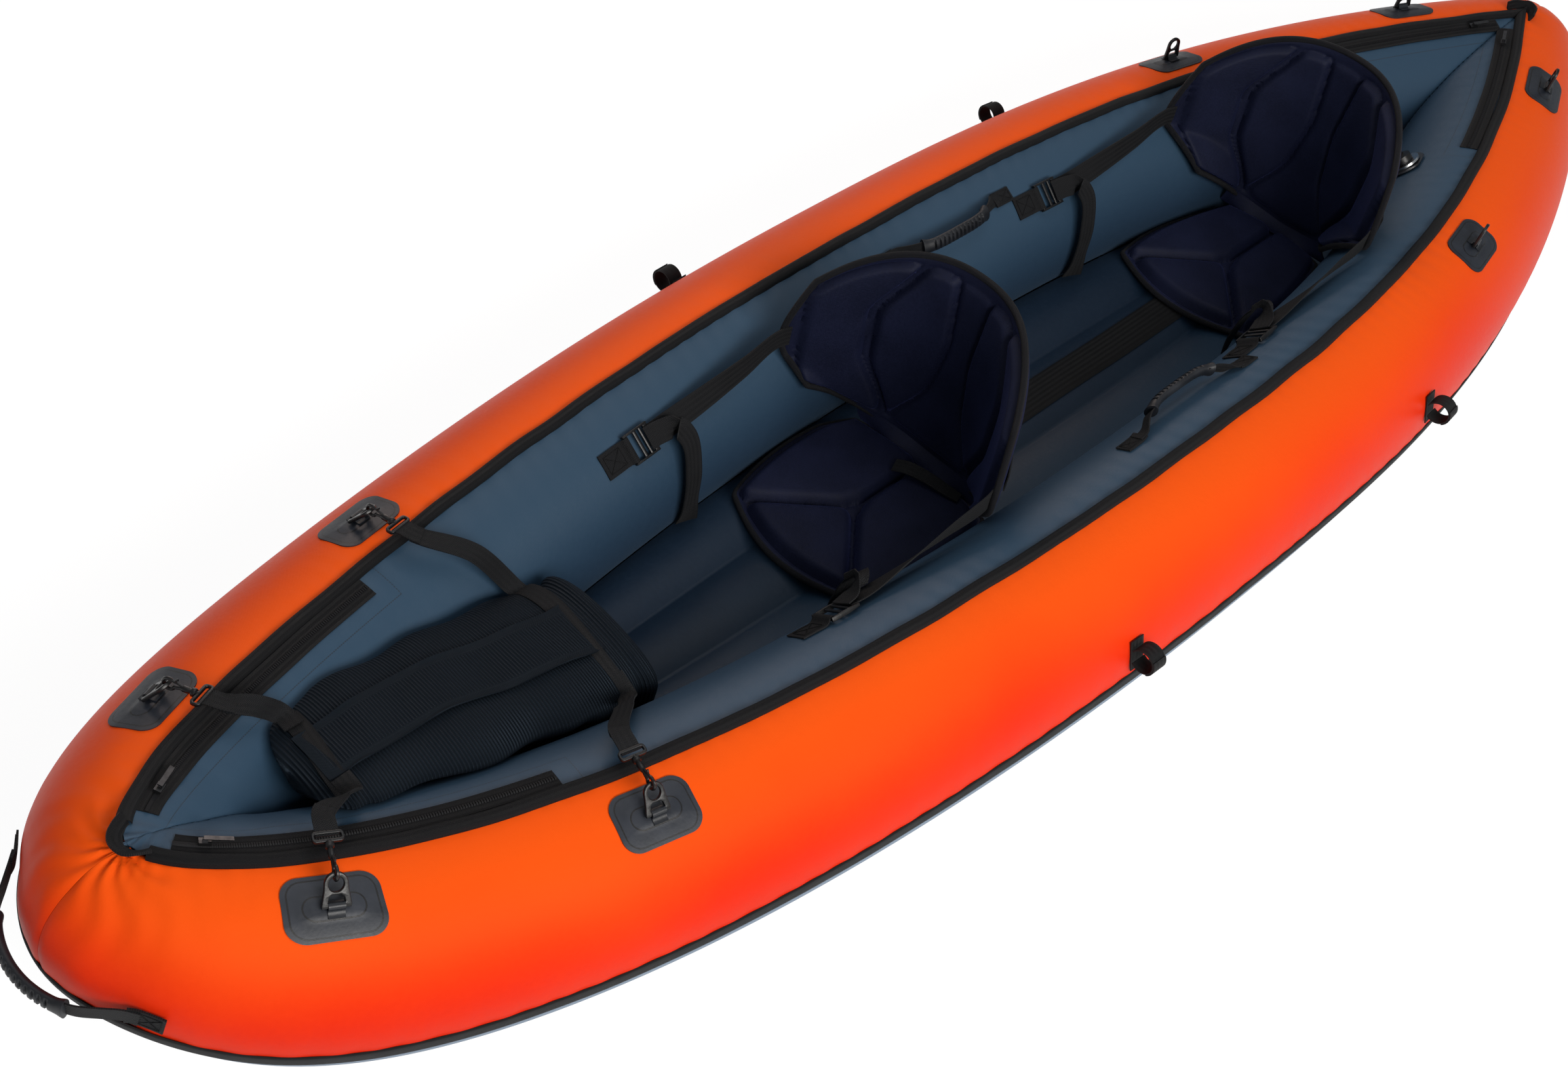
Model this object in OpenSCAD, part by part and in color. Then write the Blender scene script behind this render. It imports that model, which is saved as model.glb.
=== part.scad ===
// Two-person inflatable kayak: two side tubes in a sewn cover, an inflated floor, two strapped
// seats, a bow bag hung on hooks, carry handles, tie rings and zips.
// +X points to the bow, +Y to port and +Z up; the hull stands on z = 0.

/* [Hull] */
// Overall length of the side tubes
hull_len = 3270; // [3000:10:3600]
// Overall beam
beam = 940; // [910:5:1000]
// Radius of a side tube amidships
tube_r = 150; // [140:1:156]
// Radius of the tubes at the bow tip
nose_r = 110; // [100:1:122]
// Radius of the tubes at the stern tip
tail_r = 135; // [120:1:140]
// Rise of the tubes' tops at the bow
bow_rise = 92; // [60:1:120]
// Rise of the tubes' tops at the stern
stern_rise = 12; // [0:1:40]
// Fullness of the bow in plan
bow_full = 2.1; // [2.0:0.05:2.3]
// Roundness of the bow tip in plan
bow_round = 1.7; // [1.6:0.05:1.8]
// Fullness of the stern in plan
stern_full = 2.6; // [2.4:0.05:2.8]
// Share of each half of the hull that lies flat on the ground
flat_share = 0.35; // [0.25:0.01:0.45]
// Thickness of the fabric covers
cover_t = 3; // [2:0.5:4]
// Angle of the gunwale seam round the tube, from level outboard
seam_deg = 95; // [93:1:98]
// Angle of the chine seam round the tube at the bow tip
chine_deg = -12; // [-16:1:-8]
// How much higher round the tube the chine seam lies amidships
chine_lift = 12; // [8:1:14]
// How much lower round the tube it lies at the stern tip than amidships
chine_fall = 42; // [38:1:46]

/* [Trim] */
// Width of the gunwale piping
piping_w = 16; // [10:1:20]
// Height of the gunwale piping
piping_h = 8; // [5:0.5:10]
// Width of the chine tape
tape_w = 22; // [14:1:30]
// Thickness of the chine tape
tape_t = 2; // [1:0.5:3]
// Width of a zip tape
zip_w = 26; // [20:1:30]
// Height of the zip coil above its tape
coil_h = 2; // [1:0.5:3]
// Where the bow zips end, from amidships
bow_zip_x = 1073; // [980:1:1150]
// Where the stern zips end, from amidships
stern_zip_x = -1030; // [-1120:1:-940]

/* [Floor] */
// Height of the floor chamber's crests amidships
floor_h = 100; // [85:1:110]
// Depth of the valleys between the floor's three chambers
hump_d = 12; // [4:1:18]
// Thickness of the floor lining
liner_t = 1.5; // [1:0.5:3]
// Room under the floor lining
liner_gap = 0.9; // [0.8:0.1:1.5]
// Width of the hook-and-loop strip along the floor
strip_w = 58; // [40:1:70]
// Thickness of the hook-and-loop strip
strip_t = 2; // [1:0.5:3]
// Aft end of the strip
strip_aft = -860; // [-900:5:-700]
// Forward end of the strip
strip_fore = 440; // [300:5:480]

/* [Tie rings] */
// Length of a ring patch along the tube
patch_l = 105; // [90:1:130]
// Width of a ring patch round the tube
patch_w = 72; // [56:1:84]
// Thickness of a ring patch
patch_t = 2; // [1.5:0.5:3]
// Angle of the ring patches round the tube
patch_deg = 70; // [64:1:73]
// Fore and aft places of the four pairs of patches
ring_x = [1356, 992, -786, -1287];
// Radius of a ring's wire
wire_r = 2.5; // [2:0.1:3]
// Radius of a ring's round eye, to the middle of the wire
eye_r = 11; // [10:0.5:13]
// Distance from a ring's bar to the middle of its eye
eye_rise = 24; // [22:1:30]
// Length of a ring's bar
bar_l = 34; // [30:1:40]
// Lean of the bow rings towards the cockpit
bow_lean = 60; // [45:1:65]
// Lean of the stern rings towards the cockpit
stern_lean = 15; // [0:1:30]

/* [Seats] */
// Fore and aft place of the front seat's back
seat_x = 142; // [100:1:180]
// Distance from the front seat to the rear seat
seat_pitch = 940; // [880:1:980]
// Length of a seat base
base_l = 318; // [280:1:330]
// Width of a seat base
base_w = 335; // [290:1:340]
// Thickness of a seat base at its crown
base_t = 34; // [24:1:44]
// Depth of the channels moulded in the pads
channel_d = 7; // [3:0.5:9]
// Height of a seat back above its base
back_h = 362; // [330:1:400]
// Half width of a seat back
back_w = 205; // [190:1:215]
// Thickness of a seat back
back_t = 22; // [16:1:24]
// How far a seat back's wings reach forward
wing_reach = 160; // [130:1:170]
// Height of a wing's lower corner above the base
wing_low = 112; // [105:1:130]
// Height of a wing's upper corner above the base
wing_high = 268; // [240:1:280]

/* [Straps and buckles] */
// Width of the seat webbing
web_w = 38; // [25:1:40]
// Thickness of the webbing
web_t = 2; // [1.5:0.5:3]
// Distance from a seat back to its buckles' tabs
buckle_reach = 478; // [440:1:520]
// Angle of the buckles round the tube
buckle_deg = 131; // [126:1:136]
// Radius of a buckle's bars
bbar_r = 2.5; // [2:0.1:3]

/* [Bow bag] */
// Aft end of the bag
bag_aft = 838; // [800:1:870]
// Forward end of the bag
bag_fore = 1296; // [1230:1:1300]
// Half width of the bag at its aft end
bag_w = 122; // [90:1:130]
// Height of the bag's top above the floor at its aft end
bag_h = 138; // [110:1:150]
// Width of the bag's top flap
flap_w = 96; // [60:1:110]
// Thickness of the bag's top flap
flap_t = 3; // [2:0.5:5]
// Width of the bag's webbing
bag_web = 30; // [20:1:34]

/* [Handles] */
// Length of a rubber grip
grip_l = 150; // [120:1:160]
// Radius of a rubber grip
grip_r = 10; // [8:0.5:12]
// How far a grip stands off its pivots
grip_off = 28; // [24:1:34]
// Distance between a side handle's tabs
handle_l = 236; // [220:1:260]
// Fore and aft place of the side handles
handle_x = -109; // [-150:1:-60]
// Angle of the side handles round the tube
handle_deg = 120; // [114:1:124]
// Lean of the side handles towards the floor
handle_lean = 40; // [20:1:45]
// Width of the handle webbing
handle_web = 25; // [20:1:30]

/* [Valves and keepers] */
// Radius of the floor valve's flange
valve_r = 27; // [22:0.5:32]
// Radius of the floor valve's cap
cap_r = 17; // [14:0.5:20]
// Fore and aft place of the floor valve
valve_x = -985; // [-1010:1:-960]
// Angle of the floor valve round the port tube
valve_deg = 140; // [132:1:146]
// Bore of the paddle keepers
keeper_bore = 34; // [30:0.5:38]
// Width of a paddle keeper along its shaft
keeper_w = 26; // [20:1:34]
// Thickness of a paddle keeper's loop
keeper_t = 2; // [1.5:0.5:3]
// Fore and aft places of the paddle keepers
keeper_x = [257, -496];
// Angle of the paddle keepers round the tube
keeper_deg = 18; // [10:1:25]

/* [Hidden] */
$fn = 48;
// Clearance between neighbours that are sewn or rest on each other
gap = 0.4;
// Clearance of trim that lies on a tube, over the facets of the cover
lay = 0.6;
// Clearance of flat tabs and zip tapes, which bridge the hollow side of a tube's bend
flat_lay = 1.2;
// Radial running clearance of a bar in its loop
run = 0.08;
// Half the width of the stem seam where the two sides meet
stem = 0.2;
half_bow = hull_len / 2 - nose_r;
half_stern = hull_len / 2 - tail_r;
half_b = beam / 2 - tube_r;
slim = 18;

// Sums and shares
function total(v) = v * [for (i = v) 1];
function unit(v) = v / norm(v);
function mix(a, b, t) = a + (b - a) * t;
function share(v) = min(1, max(0, v));

// The tubes: middle line in plan, radius and top height at a place along the hull
function run_of(x) = x >= 0 ? half_bow : half_stern;
function frac(x) = min(1, abs(x) / run_of(x));
function plan_y(x) = x >= 0 ? half_b * pow(max(0, 1 - pow(frac(x), bow_full)), 1 / bow_round)
  : half_b * max(0, 1 - pow(frac(x), stern_full));
function plan_n(x) = let (
    full = x >= 0 ? bow_full : stern_full,
    gx = sign(x) * full / run_of(x) * pow(frac(x), full - 1),
    gy = x >= 0 ? bow_round / half_b * pow(plan_y(x) / half_b, bow_round - 1) : 1 / half_b)
  unit([gx, gy]);
function radius_at(x) = tube_r + ((x >= 0 ? nose_r : tail_r) - tube_r) * pow(frac(x), slim);
function rise_at(x) = (x >= 0 ? bow_rise : stern_rise)
  * pow(share((frac(x) - flat_share) / (1 - flat_share)), 3);
function top_at(x) = 2 * tube_r + rise_at(x);
function station(x) = let (n = plan_n(x), r = radius_at(x)) [x, plan_y(x), n.x, n.y, top_at(x) - r, r];

// Stations from bow to stern, close together where the tubes turn in, and a fan round the stern tip
bow_phi = [0, 2, 5, 9, 14, 20, 26, 32, 39, 46, 53, 60, 67, 74, 82];
stern_phi = [82, 76, 66, 58, 50, 43, 36, 29, 23, 17, 11, 5, 0];
function bow_x(phi) = half_bow * pow(cos(phi), 2 / bow_full);
function stern_x(phi) = -half_stern * pow(cos(phi), 2 / stern_full);
tip = station(-half_stern);
tip_deg = atan2(tip[3], -tip[2]);
function fan(a) = [tip[0], 0, -cos(a), sin(a), tip[4], tip[5]];
hull = concat([for (p = bow_phi) station(bow_x(p))], [station(0)],
  [for (p = stern_phi) station(stern_x(p))],
  [for (k = [2, 1, 0]) fan(tip_deg * k / 3)]);

// A point on a tube: angle round it, distance off its skin and the least distance from the stem plane
function on_tube(s, a, off, side = 1, keep = stem) = let (
    y = max(s[1], keep),
    least = s[3] < 0.02 ? 0 : (keep - y) / s[3],
    h = max((s[5] + off) * cos(a), least))
  [s[0] + s[2] * h, side * (y + s[3] * h), s[4] + (s[5] + off) * sin(a)];
function skin(x, a, off = 0) = on_tube(station(x), a, off);
function arc_deg(w, r = tube_r) = w / r * 180 / PI;
// Half width of the space between the tubes at a height
function inner_y(x, z) = let (s = station(x), d = z - s[4])
  s[1] - sqrt(max(0, s[5] * s[5] - d * d)) / s[3];

// Directions on a tube's skin, and a place given towards the bow, towards the cockpit and outwards
function along(x, a) = unit(skin(x + 1, a) - skin(x - 1, a));
function outward(x, a) = unit(cross(skin(x, a + 0.5) - skin(x, a - 0.5), along(x, a)));
function inboard(x, a) = cross(along(x, a), outward(x, a));
function place(x, a, off, p) = skin(x, a) + along(x, a) * p.x + inboard(x, a) * p.y
  + outward(x, a) * (off + p.z);
// Stands children on the skin: X towards the bow, Y away from the cockpit, Z outwards
module on_skin(x, a, off = 0, side = 1) {
  t = along(x, a);
  n = outward(x, a);
  c = -inboard(x, a);
  o = skin(x, a) + n * off;
  mirror([0, side < 0 ? 1 : 0, 0])
    multmatrix([[t.x, c.x, n.x, o.x], [t.y, c.y, n.y, o.y], [t.z, c.z, n.z, o.z], [0, 0, 0, 1]]) children();
}

// A solid through rings of points; each ring is an outer row and then the inner row backwards
// An even loft cuts both rows' faces along the same diagonals, which keeps a twisted strip's thickness
module loft(rings, even = false) {
  n = len(rings[0]);
  m = len(rings);
  pts = [for (r = rings) each r];
  walls = [for (i = [0:m - 2], j = [0:n - 1]) let (a = i * n + j, b = i * n + (j + 1) % n)
    each even && j >= n / 2 ? [[a, b, a + n], [b, b + n, a + n]] : [[a, b, b + n], [a, b + n, a + n]]];
  caps = [for (j = [0:n / 2 - 2]) let (k = n - 1 - j, e = (m - 1) * n)
    each [[j, k, k - 1], [j, k - 1, j + 1], [e + j, e + k - 1, e + k], [e + j, e + j + 1, e + k - 1]]];
  faces = concat(walls, caps);
  volume = total([for (f = faces) cross(pts[f[0]], pts[f[1]]) * pts[f[2]]]);
  polyhedron(pts, volume > 0 ? [for (f = faces) [f[0], f[2], f[1]]] : faces, convexity = 8);
}
function band(s, angs, outer, inner, side, k_out = stem, k_in = stem) = concat(
  [for (a = angs) on_tube(s, a, outer, side, k_out)],
  [for (i = [len(angs) - 1:-1:0]) on_tube(s, angs[i], inner, side, k_in)]);
function steps(a, b, n) = [for (i = [0:n]) a + (b - a) * i / n];

// Webbing along a path; ways holds the way its width points at each point
module webbing(path, ways, w, t) {
  m = len(path);
  loft([for (i = [0:m - 1]) let (
      d = path[min(m - 1, i + 1)] - path[max(0, i - 1)],
      s = unit(ways[i]) * w / 2,
      f = unit(cross(s, d)) * t / 2)
    [path[i] - s + f, path[i] + s + f, path[i] + s - f, path[i] - s - f]], true);
}
function flip(v, side) = [for (p = v) [p.x, side * p.y, p.z]];

// Outer cover, lining and bladder of one tube
lining_end = 270 - acos(1 - (cover_t + 4 * gap) / nose_r);
edge_deg = arc_deg(gap);
function chine_at(s) = let (f = pow(s[0] / hull[0][0], 2))
  chine_deg + chine_lift - (s[0] > 0 ? chine_lift : chine_fall) * f;
module cover(side) {
  color("orangered") loft([for (s = hull) band(s, steps(chine_at(s) + edge_deg, seam_deg - edge_deg, 12),
    0, -cover_t, side, stem, stem + cover_t)]);
}
module lining(side) {
  angs = steps(seam_deg + edge_deg, lining_end, 13);
  // It starts one station aft of the stem, where the cover's own edges meet
  lined = [for (i = [1:len(hull) - 1]) hull[i]];
  color("slategray") loft([for (s = lined) band(s, angs, 0, -cover_t, side, stem, stem + cover_t)]);
}
air_gap = 2;
// Room beside the stem plane, where flat panels cut the corner between stations
stem_room = 11;
air_off = -cover_t - air_gap;
air_keep = stem + cover_t + air_gap + stem_room;
air_hull = [for (s = hull) if (s[1] > air_keep + tail_r / 8) s];
module bladder(side) {
  color("dimgray") loft([for (s = air_hull) concat(
    [for (a = steps(90, 270, 7)) on_tube(s, a, air_off, side, air_keep)],
    [for (a = steps(270 + 180 / 7, 450 - 180 / 7, 5)) on_tube(s, a, air_off, side, air_keep)],
    [])]);
}
// The bladders' own valves, on their stern ends inside the cover
module tube_valves() {
  s = air_hull[len(air_hull) - 1];
  heading = atan2(-s[2], s[3]) + 180;
  color("black") for (side = [1, -1]) mirror([0, side < 0 ? 1 : 0, 0])
    translate([s[0], s[1], s[4]] + [s[2], s[3], 0] * tail_r / 4)
      rotate([0, 90, heading]) translate([0, 0, gap]) {
      cylinder(h = 3, r = 22);
      translate([0, 0, 3]) cylinder(h = 9, r = 15);
    }
}

// Panel under the hull, from chine to chine
module bottom_panel() {
  // From the bow tip, where its two sides meet, to the last station before the stern's turn
  under = [for (s = hull) if (s[2] == 1 || s[1] > 2 * cover_t && s[3] > 0.05) s];
  function keel(s, off) = [s[0] - (s[2] == 1 ? 0 : s[1] * s[2] / s[3]), 0, s[4] - s[5] - off];
  function row(s, off) = let (angs = steps(chine_at(s) - edge_deg, -90, 6))
    concat([for (a = angs) on_tube(s, a, off, 1)], [keel(s, off)],
      [for (i = [6:-1:0]) on_tube(s, angs[i], off, -1)]);
  function back_row(v) = [for (i = [len(v) - 1:-1:0]) v[i]];
  color("lightslategray") loft([for (s = under) concat(row(s, 0), back_row(row(s, -cover_t)))]);
}
module chine_tape() {
  w = arc_deg(tape_w / 2);
  color("black") for (side = [1, -1])
    loft([for (s = hull) let (a = chine_at(s))
      band(s, [a - w, a, a + w], lay + tape_t, lay, side)]);
}

// Piping along the gunwale seam, as far as the sides stay apart
bead_deg = arc_deg(piping_w / 2);
bead_hull = [for (s = hull) if (s[1] + s[3] * (s[5] + piping_h) * cos(seam_deg + bead_deg) > stem + 1) s];
module gunwale_piping() {
  color("black") for (side = [1, -1]) loft([for (s = bead_hull) [
    on_tube(s, seam_deg - bead_deg, lay, side), on_tube(s, seam_deg - bead_deg / 2, lay + piping_h, side),
    on_tube(s, seam_deg + bead_deg / 2, lay + piping_h, side), on_tube(s, seam_deg + bead_deg, lay, side),
    on_tube(s, seam_deg + bead_deg / 3, lay, side), on_tube(s, seam_deg - bead_deg / 3, lay, side)]]);
}
// Folded binding across each tip, where the two pipings meet
module stem_bindings() {
  r = piping_h - 1;
  color("black") for (s = [bead_hull[0], bead_hull[len(bead_hull) - 1]]) {
    way = sign(s[0]);
    e = on_tube(s, seam_deg, lay + r * (way > 0 ? sin(60) : 1) + gap);
    reach = way > 0 ? nose_r / 8 : tail_r / 3;
    loft([for (v = steps(-1, 1, 8)) let (fold = reach * (1 - v * v) / 2)
      [for (a = [0, 60, 120, 180, 240, 300])
        [e.x + way * (2 + r + fold) + (r + fold) * cos(a), e.y * v, e.z + r * sin(a)]]]);
  }
}

// Inflated floor: three lengthwise chambers between the tubes
// Height of the panel on the middle line, whose stations lie further out than they meet the middle
function toward_end(x, at) = let (s = station(at)) x + s[1] * s[2] / s[3];
function keel_z(x) = let (e = toward_end(x, toward_end(x, x)),
    far = sign(e) * min(abs(e), run_of(e) * 0.995))
  top_at(far) - 2 * radius_at(far) + cover_t;
floor_bow = half_bow * 0.80;
floor_aft = -half_stern * 0.74;
floor_xs = [for (v = steps(-90, 90, 18)) mix(floor_aft, floor_bow, (1 + sin(v)) / 2)];
hump_u = steps(-1, 1, 12);
function hump(u) = let (t = abs(u) < 1 / 3 ? 3 * u : 3 * (abs(u) - 2 / 3)) 1 - t * t;
function floor_z(x, u) = floor_h + rise_at(x) - hump_d * (1 - hump(u));
function floor_y(x, space) =
  max(6, inner_y(x, floor_h + rise_at(x) - hump_d) - space - 9 * pow(frac(x), 4));
function floor_row(x, lift, space) = [for (u = hump_u) [x, u * floor_y(x, space), floor_z(x, u) + lift]];
function floor_ring(x, lift, drop, space) = concat(floor_row(x, lift, space),
  [for (i = [12:-1:0]) [x, hump_u[i] * floor_y(x, space), drop]]);
module floor_bladder() {
  color("gray") loft([for (x = floor_xs) floor_ring(x, 0, keel_z(x) + 2, 6)]);
}
module floor_lining() {
  color("slategray") loft([for (x = floor_xs) concat(floor_row(x, liner_gap, 6),
    [for (i = [12:-1:0]) floor_row(x, liner_gap + liner_t, 6)[i]])]);
}
strip_z = floor_h + liner_gap + liner_t + gap;
module floor_strip() {
  xs = concat([strip_aft], [for (x = floor_xs) if (x > strip_aft + 20 && x < strip_fore - 20) x],
    [strip_fore]);
  us = [-1, 0, 1];
  function row(x, z) = [for (u = us) [x, u * strip_w / 2, strip_z + rise_at(x) + z]];
  color("black") loft([for (x = xs) concat(row(x, strip_t), [for (i = [2:-1:0]) row(x, 0)[i]])]);
}
// Filler tail of the floor chamber, lying up the port wall to its valve
inlet_w = 2 * valve_r + 16;
inlet_t = 3;
inlet_lift = lay + 2.1;
module floor_inlet() {
  degs = [190, 176, 163, 151, valve_deg, valve_deg - arc_deg(valve_r) / 2, valve_deg - arc_deg(valve_r)];
  color("black") webbing([for (a = degs) skin(valve_x, a, inlet_lift + inlet_t / 2)],
    [for (a = degs) along(valve_x, a)], inlet_w, inlet_t);
}
valve_off = inlet_lift + inlet_t + gap;
module floor_valve() {
  color("silver") on_skin(valve_x, valve_deg, valve_off) difference() {
    union() {
      cylinder(h = 4, r = valve_r);
      cylinder(h = 12, r = cap_r - 4);
    }
    translate([0, 0, 2]) cylinder(h = 20, r = cap_r - 7);
  }
}
module floor_valve_cap() {
  color("black") on_skin(valve_x, valve_deg, valve_off + 4 + gap) {
    difference() {
      cylinder(h = 12, r = cap_r);
      translate([0, 0, -1]) cylinder(h = 10, r = cap_r - 4 + run);
    }
    translate([-cap_r * 0.7, -2, 12]) cube([cap_r * 1.4, 4, 5]);
  }
}

// Zip tapes with a raised coil, just inside the piping
zip_deg = seam_deg + bead_deg + arc_deg(3);
zip_mid = zip_deg + arc_deg(zip_w / 2);
zip_far = zip_deg + arc_deg(zip_w);
coil_deg = arc_deg(3);
function clear_of_stem(s) = s[1] + s[3] * s[5] * cos(zip_far) > stem + 1;
bow_zip_phi = acos(pow(bow_zip_x / half_bow, bow_full / 2));
stern_zip_phi = acos(pow(-stern_zip_x / half_stern, stern_full / 2));
bow_zip = [for (p = steps(9, bow_zip_phi, 8)) let (s = station(bow_x(p))) if (clear_of_stem(s)) s];
stern_zip = [for (p = steps(20, stern_zip_phi, 6)) let (s = station(stern_x(p))) if (clear_of_stem(s)) s];
zip_t = 1.4;
slide_gap = 0.8;
module zip_tapes() {
  angs = [zip_deg, zip_mid - coil_deg, zip_mid, zip_mid + coil_deg, zip_far];
  lifts = [0, 0, coil_h, 0, 0];
  color("black") for (list = [bow_zip, stern_zip], side = [1, -1]) loft([for (s = list) concat(
    [for (i = [0:4]) on_tube(s, angs[i], flat_lay + zip_t + lifts[i], side)],
    [for (i = [4:-1:0]) on_tube(s, angs[i], flat_lay, side)])]);
}
bow_slider_x = bow_x(16);
stern_slider_x = stern_x(27);
module slider(x, side) {
  color("dimgray") on_skin(x, zip_mid, flat_lay + zip_t + coil_h + slide_gap, side) {
    translate([-7, -4.5, 0]) cube([14, 9, 4]);
    translate([-3, -1.5, 4]) cube([6, 3, 3]);
    translate([-30, -3, 7]) cube([32, 6, 1.6]);
  }
}

// Tie rings: sheet patch, loop for the bar, ring
function patch_row(x, u, off, side) = let (w = arc_deg(patch_w, radius_at(x)) * (abs(u) > 0.4 ? 0.72 : 1))
  [for (v = steps(-0.5, 0.5, 4)) let (p = skin(x + u * patch_l * plan_n(x).y, patch_deg + v * w, off))
    [p.x, side * p.y, p.z]];
module ring_patches() {
  color("dimgray") for (x = ring_x, side = [1, -1])
    loft([for (u = [-0.5, -0.4, -0.13, 0.13, 0.4, 0.5])
      concat(patch_row(x, u, lay + patch_t, side), [for (i = [4:-1:0]) patch_row(x, u, lay, side)[i]])]);
}
loop_l = bar_l - 15;
loop_r = wire_r + 2.2;
loop_off = lay + patch_t + gap;
pivot_h = loop_off + loop_r;
module ring_loops() {
  color("dimgray") for (x = ring_x, side = [1, -1]) on_skin(x, patch_deg, loop_off, side) difference() {
    union() {
      translate([-loop_l / 2, 0, loop_r]) rotate([0, 90, 0]) cylinder(h = loop_l, r = loop_r);
      translate([-loop_l / 2, -loop_r, 0]) cube([loop_l, 2 * loop_r, loop_r]);
    }
    translate([-loop_l, 0, loop_r]) rotate([0, 90, 0]) cylinder(h = 2 * loop_l, r = wire_r + run);
  }
}
// A ring in its own frame: bar along X, moulded plate with a round eye up along Z
module ring_shape() {
  rim = eye_r + wire_r;
  rotate([90, 0, 0]) linear_extrude(height = 2 * wire_r, center = true) difference() {
    union() {
      translate([0, eye_rise]) circle(r = rim);
      polygon([[-bar_l / 2, -1], [-bar_l / 2 + 5, -1], [-5, eye_rise], [5, eye_rise], [bar_l / 2 - 5, -1],
        [bar_l / 2, -1], [rim, eye_rise], [-rim, eye_rise]]);
    }
    translate([0, eye_rise]) circle(r = eye_r - wire_r);
  }
  rotate([0, 90, 0]) cylinder(h = bar_l - 2, r = wire_r - 0.1, center = true);
}
function lean_of(i) = i < 2 ? bow_lean : stern_lean;
module tie_ring(i, side) {
  color("black") on_skin(ring_x[i], patch_deg, pivot_h, side) rotate([lean_of(i), 0, 0]) ring_shape();
}

// Snap hooks on the bow rings
hook_turn = 45;
jaw_r = wire_r + 5;
jaw_wire = 2.2;
jaw_shift = 1.2;
frame_at = 38;
frame_l = 14;
frame_t = 5;
module hook_shape() {
  translate([0, 0, jaw_shift]) rotate([0, 90, 0])
    rotate_extrude() translate([jaw_r, 0]) circle(r = jaw_wire);
  translate([0, 0, jaw_shift + jaw_r]) cylinder(h = frame_at - jaw_shift - jaw_r + 1, r = 3.2);
  translate([0, 0, frame_at - 7]) cylinder(h = 5, r = 5.5);
  translate([-bag_web / 2 - 3, -frame_t / 2, frame_at]) difference() {
    cube([bag_web + 6, frame_t, frame_l]);
    translate([3, -1, 4]) cube([bag_web, frame_t + 2, frame_l - 8]);
  }
}
eye_top = eye_rise + eye_r;
module snap_hook(i, side) {
  color("black") on_skin(ring_x[i], patch_deg, pivot_h, side) rotate([lean_of(i), 0, 0])
    translate([0, 0, eye_top]) rotate([hook_turn, 0, 0]) hook_shape();
}
// Where the webbing leaves a hook, and the way the hook points
function hook_dir(i) = let (a = lean_of(i) + hook_turn) [0, sin(a), cos(a)];
function hook_end(i, out) = let (a = lean_of(i))
  place(ring_x[i], patch_deg, pivot_h,
    [0, sin(a), cos(a)] * eye_top + hook_dir(i) * (frame_at + frame_l + out));

// Bow bag, lying in the valley between the tubes
bag_room = 7;
// How far the bag's fore end reaches below and above the tubes' tops
fore_low = 54;
fore_top = -6;
function bag_share(x) = share((x - bag_aft) / (bag_fore - bag_aft));
function bag_low(x) = mix(floor_h + rise_at(bag_aft) + liner_gap + liner_t + gap,
  top_at(bag_fore) - fore_low, pow(bag_share(x), 0.9));
function bag_top(x) = mix(floor_h + bag_h, top_at(bag_fore) - fore_top, bag_share(x));
function bag_half(x, z) = min(mix(bag_w, bag_w * 0.62, bag_share(x)),
  inner_y(x, z) - bag_room - 9 * pow(frac(x), 6));
bag_xs = [for (v = steps(0, 1, 9)) mix(bag_aft, bag_fore, v)];
function bag_end(x) = 1 - 0.18 * pow(abs(2 * bag_share(x) - 1), 6);
function bag_edge(x, k) = let (z = mix(bag_low(x), bag_top(x), k * bag_end(x)),
    crown = k < 0.75 ? 1 : sqrt(1 - pow((k - 0.75) / 0.34, 2)))
  [bag_half(x, z) * crown * bag_end(x), z];
bag_ks = [0, 0.2, 0.4, 0.6, 0.75, 0.9, 1];
function bag_rim(x, side) = [for (k = bag_ks) let (e = bag_edge(x, k)) [x, side * e.x, e.y]];
module bag_body() {
  color("black") loft([for (x = bag_xs) concat(bag_rim(x, 1), [for (i = [6:-1:0]) bag_rim(x, -1)[i]])]);
}
function flap_z(x) = bag_edge(x, 1).y + lay;
module bag_flap() {
  xs = [for (i = [1:8]) bag_xs[i]];
  function row(x, z) = [for (v = [-1, 0, 1]) [x, v * min(flap_w / 2, bag_edge(x, 1).x - 1), flap_z(x) + z]];
  color("black") loft([for (x = xs) concat(row(x, flap_t), [for (i = [2:-1:0]) row(x, 0)[i]])]);
}
// Webbing from the hooks to the bag
module bag_strap(i, x, side) {
  from = hook_end(i, gap);
  part = hook_end(i, 20);
  e = bag_edge(x, 0.82);
  end = [x, e.x + 3, e.y + 3];
  mid = mix(part, end, 0.5) + [0, 0, 12];
  way = along(ring_x[i], patch_deg);
  webbing(flip([from, part, mid, end], side), flip([way, way, way, [1, 0, 0]], side), bag_web, web_t);
}
module bag_fore_straps() {
  color("black") for (side = [1, -1]) bag_strap(0, mix(bag_aft, bag_fore, 0.95), side);
}
module bag_aft_straps() {
  color("black") for (side = [1, -1]) bag_strap(1, mix(bag_aft, bag_fore, 0.2), side);
}

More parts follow.
